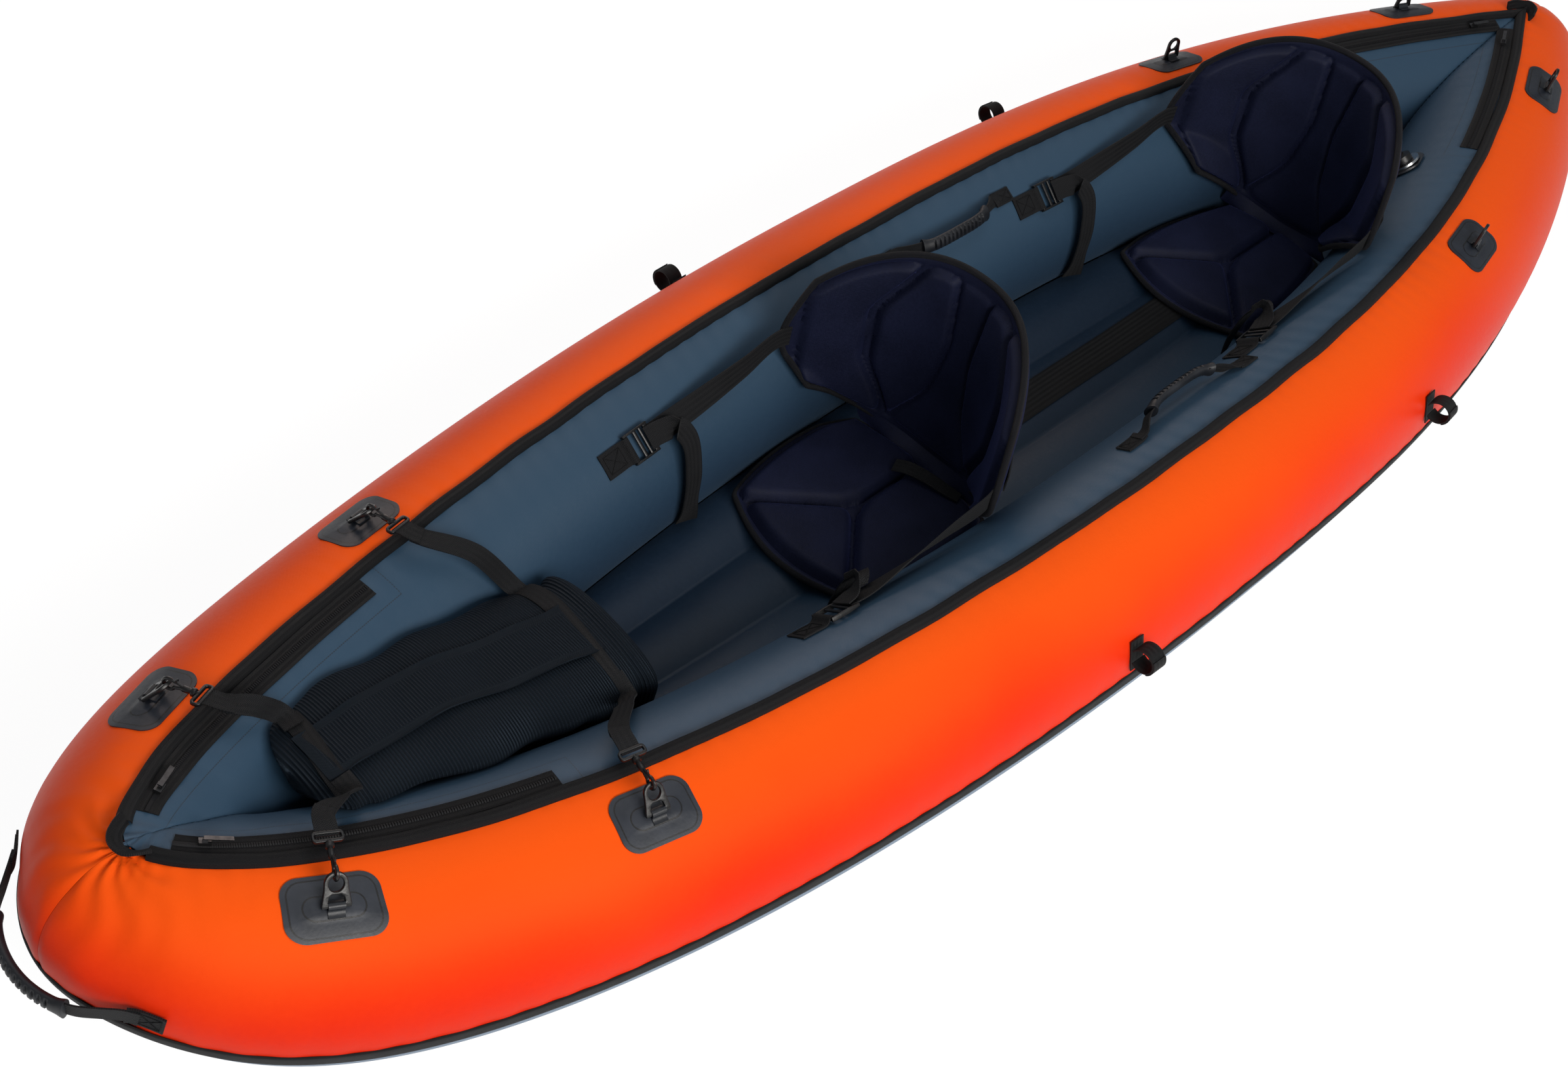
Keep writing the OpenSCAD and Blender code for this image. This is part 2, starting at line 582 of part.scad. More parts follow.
// Seats: base pad with a Y of channels, winged back pad with upright channels
base_low = strip_z + strip_t + gap;
base_rear = back_t / 2 + 4;
base_mid = [base_rear + base_l * 0.56, 0];
function to_line(p, a, b) = let (t = share((p - a) * (b - a) / ((b - a) * (b - a)))) norm(p - mix(a, b, t));
function groove(d) = exp(-pow(d / 11, 2));
pad_room = 5;
function base_edge(x0, v) = min(base_w / 2 * mix(0.84, 1, 1 - pow(abs(v - 0.5) / 0.5, 2.4)),
  inner_y(x0 + base_rear + base_l * v, base_low + base_t) - pad_room);
function base_x(u, v) = base_rear + base_l * v * (1 - 0.10 * u * u * v);
function base_mark(p) = groove(min(to_line(p, base_mid, [base_rear, 0]),
  to_line(p, base_mid, [base_rear + base_l * 0.92, base_w * 0.42]),
  to_line(p, base_mid, [base_rear + base_l * 0.92, -base_w * 0.42])));
base_us = [for (a = steps(-90, 90, 14)) sin(a)];
function base_crown(u, v) = pow(max(0, (1 - pow(abs(u), 6)) * (1 - pow(abs(2 * v - 1), 6))), 0.5);
function base_top(x0, u, v) = let (p = [base_x(u, v), u * base_edge(x0, v)])
  [x0 + p.x, p.y,
   base_low + base_t * mix(0.35, 1, base_crown(u, v)) - channel_d * base_mark(p) * base_crown(u, v)];
module seat_base(x0) {
  color("midnightblue") loft([for (v = [for (a = steps(-90, 90, 14)) (1 + sin(a)) / 2]) concat(
    [for (u = base_us) base_top(x0, u, v)],
    [for (i = [14:-1:0]) let (u = base_us[i]) [x0 + base_x(u, v), u * base_edge(x0, v), base_low]])]);
}
hinge_z = base_low + 10;
back_us = [for (a = steps(-90, 90, 20)) sin(a)];
wing_room = 18;
function back_x(u) = wing_reach * pow(abs(u), 2.2);
function back_n(u) = unit([1, -sign(u) * wing_reach * 2.2 * pow(abs(u), 1.2) / back_w]);
// A wing keeps off the tube beside it at every height
function back_y(x0, u, h) =
  sign(u) * min(abs(u) * back_w, inner_y(x0 + back_x(u), hinge_z + h) - wing_room);
function back_z(u, v) =
  mix(mix(gap, wing_low, pow(abs(u), 1.8)), mix(back_h, wing_high, pow(abs(u), 5)), v);
function back_mark(y, h) =
  groove(min(abs(abs(y) - mix(30, 58, h / back_h)), abs(abs(y) - mix(92, 118, h / back_h))));
function back_fat(u, v) = pow(max(0, (1 - pow(abs(u), 8)) * (1 - pow(abs(2 * v - 1), 8))), 0.5);
function back_at(x0, u, v, face) = let (h = back_z(u, v), n = back_n(u), y = back_y(x0, u, h),
    t = back_t / 2 * mix(0.4, 1, back_fat(u, v))
      - (face > 0 ? channel_d * back_mark(y, h) * back_fat(u, v) : 0))
  [x0 + back_x(u) + n.x * t * face, y + n.y * t * face, hinge_z + h];
module seat_back(x0) {
  color("midnightblue") loft([for (v = steps(0, 1, 12)) concat(
    [for (u = back_us) back_at(x0, u, v, 1)],
    [for (i = [20:-1:0]) back_at(x0, back_us[i], v, -1)])]);
}

// Seat straps, their buckles and the tabs that hold them
tab_t = 2.4;
bar_off = flat_lay + tab_t + bbar_r + 1;
buckle_l = 40;
buckle_w = web_w + 8;
tab_l = 46;
module buckle_tab(x0, side) {
  rise = bar_off - flat_lay;
  on_skin(x0 + buckle_reach, buckle_deg, flat_lay, side) difference() {
    union() {
      translate([0, -web_w / 2, 0]) cube([tab_l, web_w, tab_t]);
      translate([0, 0, rise]) rotate([90, 0, 0]) cylinder(h = web_w - 2, r = bbar_r + 2, center = true);
      translate([0, -web_w / 2 + 1, 0]) cube([bbar_r + 2, web_w - 2, rise]);
    }
    translate([0, 0, rise]) rotate([90, 0, 0]) cylinder(h = web_w * 2, r = bbar_r + run, center = true);
  }
}
module buckle_tabs() {
  color("black") for (x0 = [seat_x, seat_x - seat_pitch], side = [1, -1]) buckle_tab(x0, side);
}
module buckle(x0, side) {
  color("black") on_skin(x0 + buckle_reach, buckle_deg, bar_off, side) {
    rotate([90, 0, 0]) cylinder(h = buckle_w - 2, r = bbar_r, center = true);
    for (x = [-buckle_l * 0.45, -buckle_l * 0.7, -buckle_l])
      translate([x, 0, x < -buckle_l * 0.6 ? 1 : 0]) rotate([90, 0, 0])
        cylinder(h = buckle_w - 2, r = bbar_r, center = true);
    for (e = [-1, 1]) translate([-buckle_l - bbar_r, e * (buckle_w / 2 - 1.5) - 1.5, -3])
      cube([buckle_l + 2 * bbar_r, 3, 7]);
  }
}
module seat_strap(x0, side) {
  xb = x0 + buckle_reach;
  edge = back_at(x0, 1, 0.5, 0);
  c = inboard(xb, buckle_deg);
  // Run from the wing to the buckle
  from = edge + [1.6, -0.6, 0];
  into = place(xb, buckle_deg, bar_off, [-buckle_l - bbar_r - gap, 0, 1]);
  near = place(xb, buckle_deg, bar_off, [-buckle_l - 28, 0, 4]);
  path = [from, mix(from, near, 0.33) + [0, 0, -3], mix(from, near, 0.67) + [0, 0, -3], near, into];
  ways = [[0, 0, -1], mix([0, 0, -1], c, 0.25), mix([0, 0, -1], c, 0.6), c, c];
  // Free tail: out over the buckle, then folded down the wall
  hang = xb - buckle_l - 18;
  out = [for (p = [[8, 4.9], [-6, 5.4], [-36, 7.1]])
    place(xb, buckle_deg, bar_off, [-buckle_l + p.x, 0, p.y])];
  drop = [place(hang, buckle_deg, bar_off, [0, -10, 8.6]), place(hang, buckle_deg, bar_off, [0, 20, 9]),
    skin(hang, 158, 14), skin(hang, 178, 9), skin(hang, 192, 8)];
  down = [for (p = drop) along(hang, buckle_deg)];
  color("black") {
    webbing(flip(path, side), flip(ways, side), web_w - 2, web_t);
    webbing(flip(out, side), flip([c, c, c], side), web_w - 6, web_t);
    webbing(flip(drop, side), flip(down, side), web_w - 6, web_t);
  }
}

// Carry handles: sewn tabs, webbing legs and a ribbed rubber grip
pin_off = flat_lay + 5;
tip_deg_h = 8;
leg_w = 4;
leg_t = 3;
bow_tab_x = bow_x(9);
stern_tab_x = stern_x(11);
// A tab's folded end stands just off the webbing leg that swings beside it
module handle_tab(x, a, side, way, room, lift = flat_lay) {
  on_skin(x, a, lift, side) mirror([way > 0 ? 0 : 1, 0, 0]) translate([room, -handle_web / 2, 0]) {
    cube([34, handle_web, 2.4]);
    cube([3, handle_web, pin_off - lift + leg_w / 2]);
  }
}
end_room = 1.3;
// Clearance of the tabs at the tips, whose panels bend away from them
end_lay = 0.2;
module handle_tabs() {
  color("black") for (side = [1, -1]) {
    handle_tab(handle_x + handle_l / 2, handle_deg, side, 1, 2 * gap);
    handle_tab(handle_x - handle_l / 2, handle_deg, side, -1, 2 * gap);
    handle_tab(bow_tab_x, tip_deg_h, side, -1, end_room, end_lay);
    handle_tab(stern_tab_x, tip_deg_h, side, 1, end_room, end_lay);
  }
}
module grip_barrel(l, r) {
  rotate([0, 90, 0]) rotate_extrude() polygon([
    [0, -l / 2], [r + 2, -l / 2], [r + 2, -l / 2 + 6], [r, -l / 2 + 14],
    [r, l / 2 - 14], [r + 2, l / 2 - 6], [r + 2, l / 2], [0, l / 2]]);
}
module side_handle(side) {
  run_l = (handle_l - grip_l) / 2;
  drop_deg = atan2(grip_off, run_l);
  color("black") on_skin(handle_x, handle_deg, pin_off, side) rotate([handle_lean, 0, 0]) {
    translate([0, 0, grip_off]) grip_barrel(grip_l, grip_r);
    for (e = [0, 1]) mirror([e, 0, 0]) translate([grip_l / 2, 0, grip_off]) rotate([0, drop_deg, 0])
      translate([leg_t / 2 + gap, -leg_w / 2, -leg_t / 2])
        cube([norm([run_l, grip_off]) - leg_t - 1, leg_w, leg_t]);
  }
}
module end_handle(x_tab, x_mid, r_tip, way) {
  pin = place(x_tab, tip_deg_h, pin_off, [0, 0, 0]);
  r = r_tip + grip_off;
  spread = grip_l / r * 90 / PI;
  arc_end = [x_mid + way * r * cos(spread), r * sin(spread)];
  d = [pin.x, pin.y] - arc_end;
  bend = abs(way * atan2(d.y, way * d.x) - way * (90 + spread));
  start = (leg_t / 2 * sin(bend) + gap) / cos(bend);
  color("black") {
    translate([x_mid, 0, pin.z]) rotate([0, 0, way > 0 ? -spread : 180 - spread])
      rotate_extrude(angle = 2 * spread) translate([r, 0]) circle(r = grip_r);
    for (side = [1, -1]) mirror([0, side < 0 ? 1 : 0, 0])
      translate([arc_end.x, arc_end.y, pin.z]) rotate([0, 0, atan2(d.y, d.x)])
        translate([start, -leg_t / 2, -leg_w / 2]) cube([norm(d) - start, leg_t, leg_w]);
  }
}

// Hook-and-loop keepers that hold a shaft along the tube
keeper_rise = keeper_bore / 2 + keeper_t + gap;
module paddle_keepers() {
  color("black") for (x = keeper_x, side = [1, -1]) on_skin(x, keeper_deg, lay, side) difference() {
    union() {
      translate([0, 0, keeper_rise]) rotate([0, 90, 0])
        cylinder(h = keeper_w, r = keeper_bore / 2 + keeper_t, center = true);
      translate([-keeper_w / 2, -keeper_bore / 2 + 1, 0]) cube([keeper_w, keeper_bore - 2, keeper_t + 1]);
    }
    translate([0, 0, keeper_rise]) rotate([0, 90, 0])
      cylinder(h = 2 * keeper_w, r = keeper_bore / 2, center = true);
  }
}

rear_x = seat_x - seat_pitch;
cover(1);  // port_cover
cover(-1);  // starboard_cover
lining(1);  // port_lining
lining(-1);  // starboard_lining
bottom_panel();
chine_tape();
gunwale_piping();
stem_bindings();
bladder(1);  // port_bladder
bladder(-1);  // starboard_bladder
tube_valves();
floor_bladder();
floor_lining();
floor_strip();
floor_inlet();
floor_valve();
floor_valve_cap();
zip_tapes();
slider(bow_slider_x, 1);  // bow_port_slider
slider(bow_slider_x, -1);  // bow_starboard_slider
slider(stern_slider_x, 1);  // stern_port_slider
slider(stern_slider_x, -1);  // stern_starboard_slider
ring_patches();
ring_loops();
tie_ring(0, 1);  // ring_port_1
tie_ring(1, 1);  // ring_port_2
tie_ring(2, 1);  // ring_port_3
tie_ring(3, 1);  // ring_port_4
tie_ring(0, -1);  // ring_starboard_1
tie_ring(1, -1);  // ring_starboard_2
tie_ring(2, -1);  // ring_starboard_3
tie_ring(3, -1);  // ring_starboard_4
snap_hook(0, 1);  // hook_port_1
snap_hook(1, 1);  // hook_port_2
snap_hook(0, -1);  // hook_starboard_1
snap_hook(1, -1);  // hook_starboard_2
bag_body();
bag_flap();
bag_fore_straps();
bag_aft_straps();
seat_base(seat_x);  // front_seat_base
seat_base(rear_x);  // rear_seat_base
seat_back(seat_x);  // front_seat_back
seat_back(rear_x);  // rear_seat_back
seat_strap(seat_x, 1);  // front_port_strap
seat_strap(seat_x, -1);  // front_starboard_strap
seat_strap(rear_x, 1);  // rear_port_strap
seat_strap(rear_x, -1);  // rear_starboard_strap
buckle_tabs();
buckle(seat_x, 1);  // front_port_buckle
buckle(seat_x, -1);  // front_starboard_buckle
buckle(rear_x, 1);  // rear_port_buckle
buckle(rear_x, -1);  // rear_starboard_buckle
handle_tabs();
side_handle(1);  // port_handle
side_handle(-1);  // starboard_handle
end_handle(bow_tab_x, half_bow, nose_r, 1);  // bow_handle
end_handle(stern_tab_x, -half_stern, tail_r, -1);  // stern_handle
paddle_keepers();
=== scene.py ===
"""Looks of the two-person inflatable kayak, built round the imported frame.

Metres, +X to the bow, +Y to port, +Z up.
"""
import math

import bpy
import numpy as np
from mathutils import Matrix, Vector


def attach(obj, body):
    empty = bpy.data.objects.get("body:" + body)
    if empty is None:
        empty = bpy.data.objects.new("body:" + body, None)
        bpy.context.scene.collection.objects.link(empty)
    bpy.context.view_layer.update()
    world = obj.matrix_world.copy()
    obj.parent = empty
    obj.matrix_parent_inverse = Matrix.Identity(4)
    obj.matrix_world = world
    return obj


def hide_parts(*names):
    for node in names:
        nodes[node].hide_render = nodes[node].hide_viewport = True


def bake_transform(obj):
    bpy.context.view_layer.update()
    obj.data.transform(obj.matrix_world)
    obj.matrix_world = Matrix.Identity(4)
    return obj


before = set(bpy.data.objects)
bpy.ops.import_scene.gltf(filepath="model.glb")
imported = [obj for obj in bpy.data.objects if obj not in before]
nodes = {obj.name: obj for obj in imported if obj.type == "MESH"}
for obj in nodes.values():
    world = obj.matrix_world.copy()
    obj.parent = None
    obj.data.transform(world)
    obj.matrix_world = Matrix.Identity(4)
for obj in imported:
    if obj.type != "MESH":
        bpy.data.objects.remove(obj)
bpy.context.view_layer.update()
SIDES = (("port", 1), ("starboard", -1))
MM = 0.001

# Hull sizes, as in the part's source
HULL_LEN = 3.270
BEAM = 0.940
TUBE_R = 0.150
NOSE_R = 0.110
TAIL_R = 0.135
BOW_RISE = 0.092
STERN_RISE = 0.012
BOW_FULL = 2.1
BOW_ROUND = 1.7
STERN_FULL = 2.6
FLAT_SHARE = 0.35
SLIM = 18
SEAM_DEG = 95
CHINE_DEG = -12
CHINE_LIFT = 12
CHINE_FALL = 42
LINING_END = 258
HALF_BOW = HULL_LEN / 2 - NOSE_R
HALF_STERN = HULL_LEN / 2 - TAIL_R
HALF_B = BEAM / 2 - TUBE_R

# How close things lie: to the middle plane, on the skin, flat on the skin
STEM = 0.0002
LAY = 0.0006
FLAT_LAY = 0.0012

# Fineness of the hull's line, least sideways share of a plan normal, waves in a ripple
LINE_STEPS = 900
FAN_STEPS = 60
EDGE_ON = 0.02
RIPPLES = 7


def unit(v):
    v = np.asarray(v, float)
    return v / np.linalg.norm(v, axis=-1, keepdims=True)


def mix(a, b, t):
    return a + (b - a) * t


def ease(t):
    t = np.clip(t, 0, 1)
    return t * t * (3 - 2 * t)


def mirror(side):
    return np.array([1, side, 1])


def xyz(x, y, z):
    """Points from their coordinates, any of which may be one for all."""
    return np.stack(np.broadcast_arrays(x, y, z), -1)


def across_x(line):
    """A flat line stood up in the plane across X."""
    return np.insert(line, 0, 0, axis=1)


def leaned(deg):
    """Upwards, leaned to +Y."""
    return np.array([0, math.sin(math.radians(deg)), math.cos(math.radians(deg))])


def columns(*axes):
    """A matrix from its axes and its place."""
    m = Matrix.Identity(4)
    for k, axis in enumerate(axes):
        m.col[k][:3] = axis
    return m


def run_length(p):
    """Length along a line of points, from its first."""
    return np.concatenate([[0], np.cumsum(np.linalg.norm(np.diff(p, axis=0), axis=1))])


def stations(x):
    """Rows of x, y, plan normal, centre height and radius of a side tube at places x."""
    x = np.asarray(x, float)
    bow = x >= 0
    reach = np.where(bow, HALF_BOW, HALF_STERN)
    f = np.minimum(1, np.abs(x) / reach)
    full = np.where(bow, BOW_FULL, STERN_FULL)
    left = np.maximum(0, 1 - f**full)
    y = HALF_B * np.where(bow, left ** (1 / BOW_ROUND), left)
    gx = np.sign(x) * full / reach * f ** (full - 1)
    gy = np.where(bow, BOW_ROUND / HALF_B * (y / HALF_B) ** (BOW_ROUND - 1), 1 / HALF_B)
    size = np.hypot(gx, gy)
    r = TUBE_R + (np.where(bow, NOSE_R, TAIL_R) - TUBE_R) * f**SLIM
    rise = np.where(bow, BOW_RISE, STERN_RISE) * np.clip((f - FLAT_SHARE) / (1 - FLAT_SHARE), 0, 1) ** 3
    return np.stack([x, y, gx / size, gy / size, 2 * TUBE_R + rise - r, r], -1)


def rise_at(x):
    row = stations(x)
    return row[..., 4] + row[..., 5] - 2 * TUBE_R


def hull_line():
    """Stations from the bow tip to the fan round the stern tip, with the length along the outer skin."""
    phi = np.radians(np.linspace(0, 90, LINE_STEPS))
    bow = stations(HALF_BOW * np.cos(phi) ** (2 / BOW_FULL))
    stern = stations(-HALF_STERN * np.cos(phi[::-1]) ** (2 / STERN_FULL))[1:]
    tip = stern[-1]
    turn = math.atan2(tip[3], -tip[2]) * np.linspace(1, 0, FAN_STEPS)[1:]
    fan = np.tile(tip, (len(turn), 1))
    fan[:, 1] = 0
    fan[:, 2] = -np.cos(turn)
    fan[:, 3] = np.sin(turn)
    rows = np.concatenate([bow, stern, fan])
    return rows, run_length(rows[:, :2] + rows[:, 2:4] * rows[:, 5:6])


LINE, LINE_S = hull_line()
GIRTH = LINE_S[-1]


def at_length(s):
    """Stations at lengths s along the hull from the bow tip."""
    rows = np.stack([np.interp(s, LINE_S, LINE[:, k]) for k in range(6)], -1)
    rows[..., 2:4] = unit(rows[..., 2:4])
    return rows


def length_at(x):
    """Length along the hull where its middle line is at x."""
    return float(np.interp(-x, -LINE[:, 0], LINE_S))


def on_tube(row, deg, off=0.0, side=1):
    """Points on a tube: angle round it and distance off its skin, kept off the middle plane."""
    a = np.radians(deg)
    y = np.maximum(row[..., 1], STEM)
    ny = row[..., 3]
    least = np.where(ny < EDGE_ON, 0, (STEM - y) / np.maximum(ny, EDGE_ON))
    r = row[..., 5] + off
    h = np.maximum(r * np.cos(a), least)
    return np.stack([row[..., 0] + row[..., 2] * h, side * (y + ny * h), row[..., 4] + r * np.sin(a)], -1)


def skin(x, deg, off=0.0):
    return on_tube(stations(x), deg, off)


def chine_at(row):
    """Angle of the chine seam round the tube: low at the tips, highest amidships."""
    x = row[..., 0]
    return CHINE_DEG + CHINE_LIFT - np.where(x > 0, CHINE_LIFT, CHINE_FALL) * (x / HALF_BOW) ** 2


def steady(deg):
    """An angle that stays the same along the hull, given as chine_at gives its own."""
    return lambda row: deg + 0 * row[..., 0]


def inner_y(x, z):
    """Half width of the space between the tubes at a height."""
    row = stations(x)
    d = z - row[..., 4]
    return row[..., 1] - np.sqrt(np.maximum(0, row[..., 5] ** 2 - d * d)) / row[..., 3]


def axes_on(x, deg):
    """Directions on the port skin: to the bow, to the cockpit, outwards."""
    along = unit(skin(x + MM, deg) - skin(x - MM, deg))
    out = unit(np.cross(skin(x, deg + 0.5) - skin(x, deg - 0.5), along))
    return along, np.cross(along, out), out


def place(x, deg, off, p):
    """A point given towards the bow, towards the cockpit and outwards from a spot on the port skin."""
    along, inboard, out = axes_on(x, deg)
    return skin(x, deg) + along * p[0] + inboard * p[1] + out * (off + p[2])


def stand_on(x, deg, off, side, lean=0.0):
    """Frame on the skin: X along the tube, Y away from the cockpit, Z outwards, leaned to the cockpit."""
    along, inboard, out = axes_on(x, deg)
    axes = np.array([along * side, -inboard, out, skin(x, deg) + out * off]) * mirror(side)
    return columns(*axes) @ Matrix.Rotation(math.radians(lean), 4, "X")


def ripple(a, b, seed, low=4.0, high=16.0):
    """Smooth repeatable unevenness of about -1 to 1 over two lengths."""
    rng = np.random.default_rng(seed)
    total = 0.0
    for _ in range(RIPPLES):
        f = rng.uniform(low, high)
        w = rng.uniform(0, 2 * math.pi)
        p = rng.uniform(0, 2 * math.pi)
        total = total + np.sin(f * (np.cos(w) * a + np.sin(w) * b) + p)
    return total / math.sqrt(RIPPLES) * 0.8


def dip(d, width):
    """A smooth bump of height 1 at nought."""
    return np.exp(-((d / width) ** 2))


# Modelling helpers

STAND_UP = Matrix.Rotation(math.pi / 2, 4, "X")


def start():
    """Object mode with nothing selected."""
    if bpy.context.object and bpy.context.object.mode != "OBJECT":
        bpy.ops.object.mode_set(mode="OBJECT")
    bpy.ops.object.select_all(action="DESELECT")


def pick(o):
    start()
    o.select_set(True)
    bpy.context.view_layer.objects.active = o


def named(o, name):
    o.name = name
    o.data.name = name
    return o


def in_edit(o, *steps):
    """Runs mesh operators on the whole of an object."""
    pick(o)
    bpy.ops.object.mode_set(mode="EDIT")
    bpy.ops.mesh.select_all(action="SELECT")
    for operator, settings in steps:
        operator(**settings)
    bpy.ops.object.mode_set(mode="OBJECT")
    return o


def tidy(o, merge=1e-5):
    """Merges doubles and points the faces outwards."""
    merging = (bpy.ops.mesh.remove_doubles, {"threshold": merge})
    return in_edit(o, merging, (bpy.ops.mesh.normals_make_consistent, {"inside": False}))


def shade(o, deg=40):
    pick(o)
    bpy.ops.object.shade_smooth_by_angle(angle=math.radians(deg))
    return o


def points_of(o):
    co = np.zeros(len(o.data.vertices) * 3)
    o.data.vertices.foreach_get("co", co)
    return co.reshape(-1, 3)


def move_points(o, co):
    o.data.vertices.foreach_set("co", np.ascontiguousarray(co, dtype=np.float64).ravel())
    o.data.update()
    return o


def map_of(o):
    layer = o.data.uv_layers.active.data
    uv = np.zeros(len(layer) * 2)
    layer.foreach_get("uv", uv)
    return layer, uv.reshape(-1, 2)


def grid(name, nu, nv, shape, size=(1, 1)):
    """A primitive grid whose points shape(u, v) lays out; its map is in metres."""
    start()
    bpy.ops.mesh.primitive_grid_add(x_subdivisions=nu, y_subdivisions=nv, size=1)
    o = named(bpy.context.object, name)
    co = points_of(o)
    move_points(o, shape(co[:, 0] + 0.5, co[:, 1] + 0.5))
    layer, uv = map_of(o)
    layer.foreach_set("uv", (uv * size).ravel())
    return o


def thicken(o, thick, offset):
    pick(o)
    m = o.modifiers.new("solidify", "SOLIDIFY")
    m.thickness = thick
    m.offset = offset
    bpy.ops.object.modifier_apply(modifier=m.name)


def face_away(o, centre):
    """Turns a sheet's faces away from centre(points)."""
    mids = np.array([p.center for p in o.data.polygons])
    ways = np.array([p.normal for p in o.data.polygons])
    if np.sum(ways * (mids - centre(mids))) < 0:
        in_edit(o, (bpy.ops.mesh.flip_normals, {}))


def cloth(name, nu, nv, shape, size, centre, thick, offset=-1):
    """A sheet with a thickness, its face away from centre(points)."""
    o = grid(name, nu, nv, shape, size)
    face_away(o, centre)
    thicken(o, thick, offset)
    return shade(o, 60)


def ground(p):
    return p * [1, 1, 0]


def join(name, objects):
    start()
    for o in objects:
        o.select_set(True)
    bpy.context.view_layer.objects.active = objects[0]
    if len(objects) > 1:
        bpy.ops.object.join()
    return named(bpy.context.object, name)


def set_down(o, matrix):
    """Puts a piece's place into its mesh."""
    o.data.transform(matrix)
    o.data.update()
    return o


def through(points, count, closed=False):
    """Evenly spaced points on a smooth curve through the given ones, and its length."""
    p = np.asarray(points, float)
    if closed:
        p = np.concatenate([p[-2:], p, p[:3]])
    gaps = np.linalg.norm(np.diff(p[:, :3], axis=0), axis=1)
    t = np.concatenate([[0], np.cumsum(gaps**0.75 + 1e-9)])
    slope = np.gradient(p, t, axis=0)
    first, last = (t[2], t[-3]) if closed else (0, t[-1])
    fine = np.linspace(first, last, 40 * len(p))
    k = np.clip(np.searchsorted(t, fine, side="right") - 1, 0, len(t) - 2)
    h = (t[k + 1] - t[k])[:, None]
    w = (fine - t[k])[:, None] / h
    q = (
        (2 * w**3 - 3 * w**2 + 1) * p[k]
        + (w**3 - 2 * w**2 + w) * h * slope[k]
        + (3 * w**2 - 2 * w**3) * p[k + 1]
        + (w**3 - w**2) * h * slope[k + 1]
    )
    s = run_length(q[:, :3])
    want = np.linspace(0, s[-1], count, endpoint=not closed)
    return np.stack([np.interp(want, s, q[:, c]) for c in range(q.shape[1])], -1), s[-1]


def square_to(way, tangent):
    """The way made square to the tangent at each point."""
    return unit(way - tangent * np.sum(way * tangent, axis=1, keepdims=True))


def ribbon(name, points, ways, width, thick, step, curl=0.0, side=1):
    """Webbing along points, with the way that its width points at each; both are given for port."""
    both = np.concatenate([np.asarray(points, float), unit(ways)], 1) * np.tile(mirror(side), 2)
    count = max(6, int(run_length(both[:, :3])[-1] / step))
    path, length = through(both, count)
    mid = path[:, :3]
    tangent = unit(np.gradient(mid, axis=0))
    way = square_to(path[:, 3:], tangent)
    face = np.cross(tangent, way)

    def shape(u, v):
        k = np.rint(u * (count - 1)).astype(int)
        return mid[k] + way[k] * ((v - 0.5) * width)[:, None] + face[k] * (curl * (2 * v - 1) ** 2)[:, None]

    o = grid(name, count - 1, 6, shape, (length, width))
    thicken(o, thick, 0)
    return shade(o, 50)


def add_line(data, points, closed):
    """Adds a poly line of flat or solid points to a curve."""
    points = np.asarray(points, float)
    co = np.tile([0.0, 0.0, 0.0, 1.0], (len(points), 1))
    co[:, : points.shape[1]] = points
    line = data.splines.new("POLY")
    line.points.add(len(points) - 1)
    line.points.foreach_set("co", co.ravel())
    line.use_cyclic_u = closed


def made_mesh(name, data, merge):
    o = bpy.data.objects.new(name, data)
    bpy.context.scene.collection.objects.link(o)
    pick(o)
    bpy.ops.object.convert(target="MESH")
    return tidy(bpy.context.object, merge)


def tube(name, points, radius, sides=10, closed=False, count=None):
    """A round bead along points, from a bevelled curve made a mesh."""
    data = bpy.data.curves.new(name, "CURVE")
    data.dimensions = "3D"
    add_line(data, points if count is None else through(points, count, closed)[0], closed)
    data.bevel_depth = radius
    data.bevel_resolution = max(1, sides // 4)
    data.use_fill_caps = not closed
    return shade(made_mesh(name, data, 1e-5), 60)


def plate(name, outlines, half, edge, matrix):
    """A flat moulding with rounded edges: the first outline is its rim, the others are holes."""
    data = bpy.data.curves.new(name, "CURVE")
    data.dimensions = "2D"
    data.fill_mode = "BOTH"
    data.extrude = max(1e-5, half - edge)
    data.bevel_depth = edge
    data.bevel_resolution = 2
    data.offset = -edge
    for points in outlines:
        add_line(data, points, True)
    return shade(set_down(made_mesh(name, data, 2e-5), matrix), 35)


def lathe(name, profile):
    """A turned piece: a line of radii and heights spun about Z."""
    start()
    bpy.ops.mesh.primitive_grid_add(x_subdivisions=1, y_subdivisions=1, size=MM)
    o = named(bpy.context.object, name)
    in_edit(o, (bpy.ops.mesh.delete, {"type": "VERT"}))
    o.data.from_pydata([(r, 0, z) for r, z in profile], [(i, i + 1) for i in range(len(profile) - 1)], [])
    turn = {"steps": 32, "angle": 2 * math.pi, "center": (0, 0, 0), "axis": (0, 0, 1)}
    in_edit(o, (bpy.ops.mesh.spin, turn))
    return shade(tidy(o, 2e-5), 35)


def arc(r, cy, a0, a1, n):
    """Points of a round arc about (0, cy), from angle a0 to a1."""
    return [(r * math.cos(a), cy + r * math.sin(a)) for a in np.radians(np.linspace(a0, a1, n))]


def rounded(w, h, r, n=6):
    """Outline of a rectangle with round corners."""
    points = []
    for sx, sy, a0 in ((1, 1, 0), (-1, 1, 90), (-1, -1, 180), (1, -1, 270)):
        corner = np.array([sx * (w / 2 - r), sy * (h / 2 - r)])
        points += [tuple(corner + p) for p in arc(r, 0, a0, a0 + 90, n + 1)]
    return points


# Finishes


def sum_of(kind):
    return lambda value, *others: value.op(kind, *others)


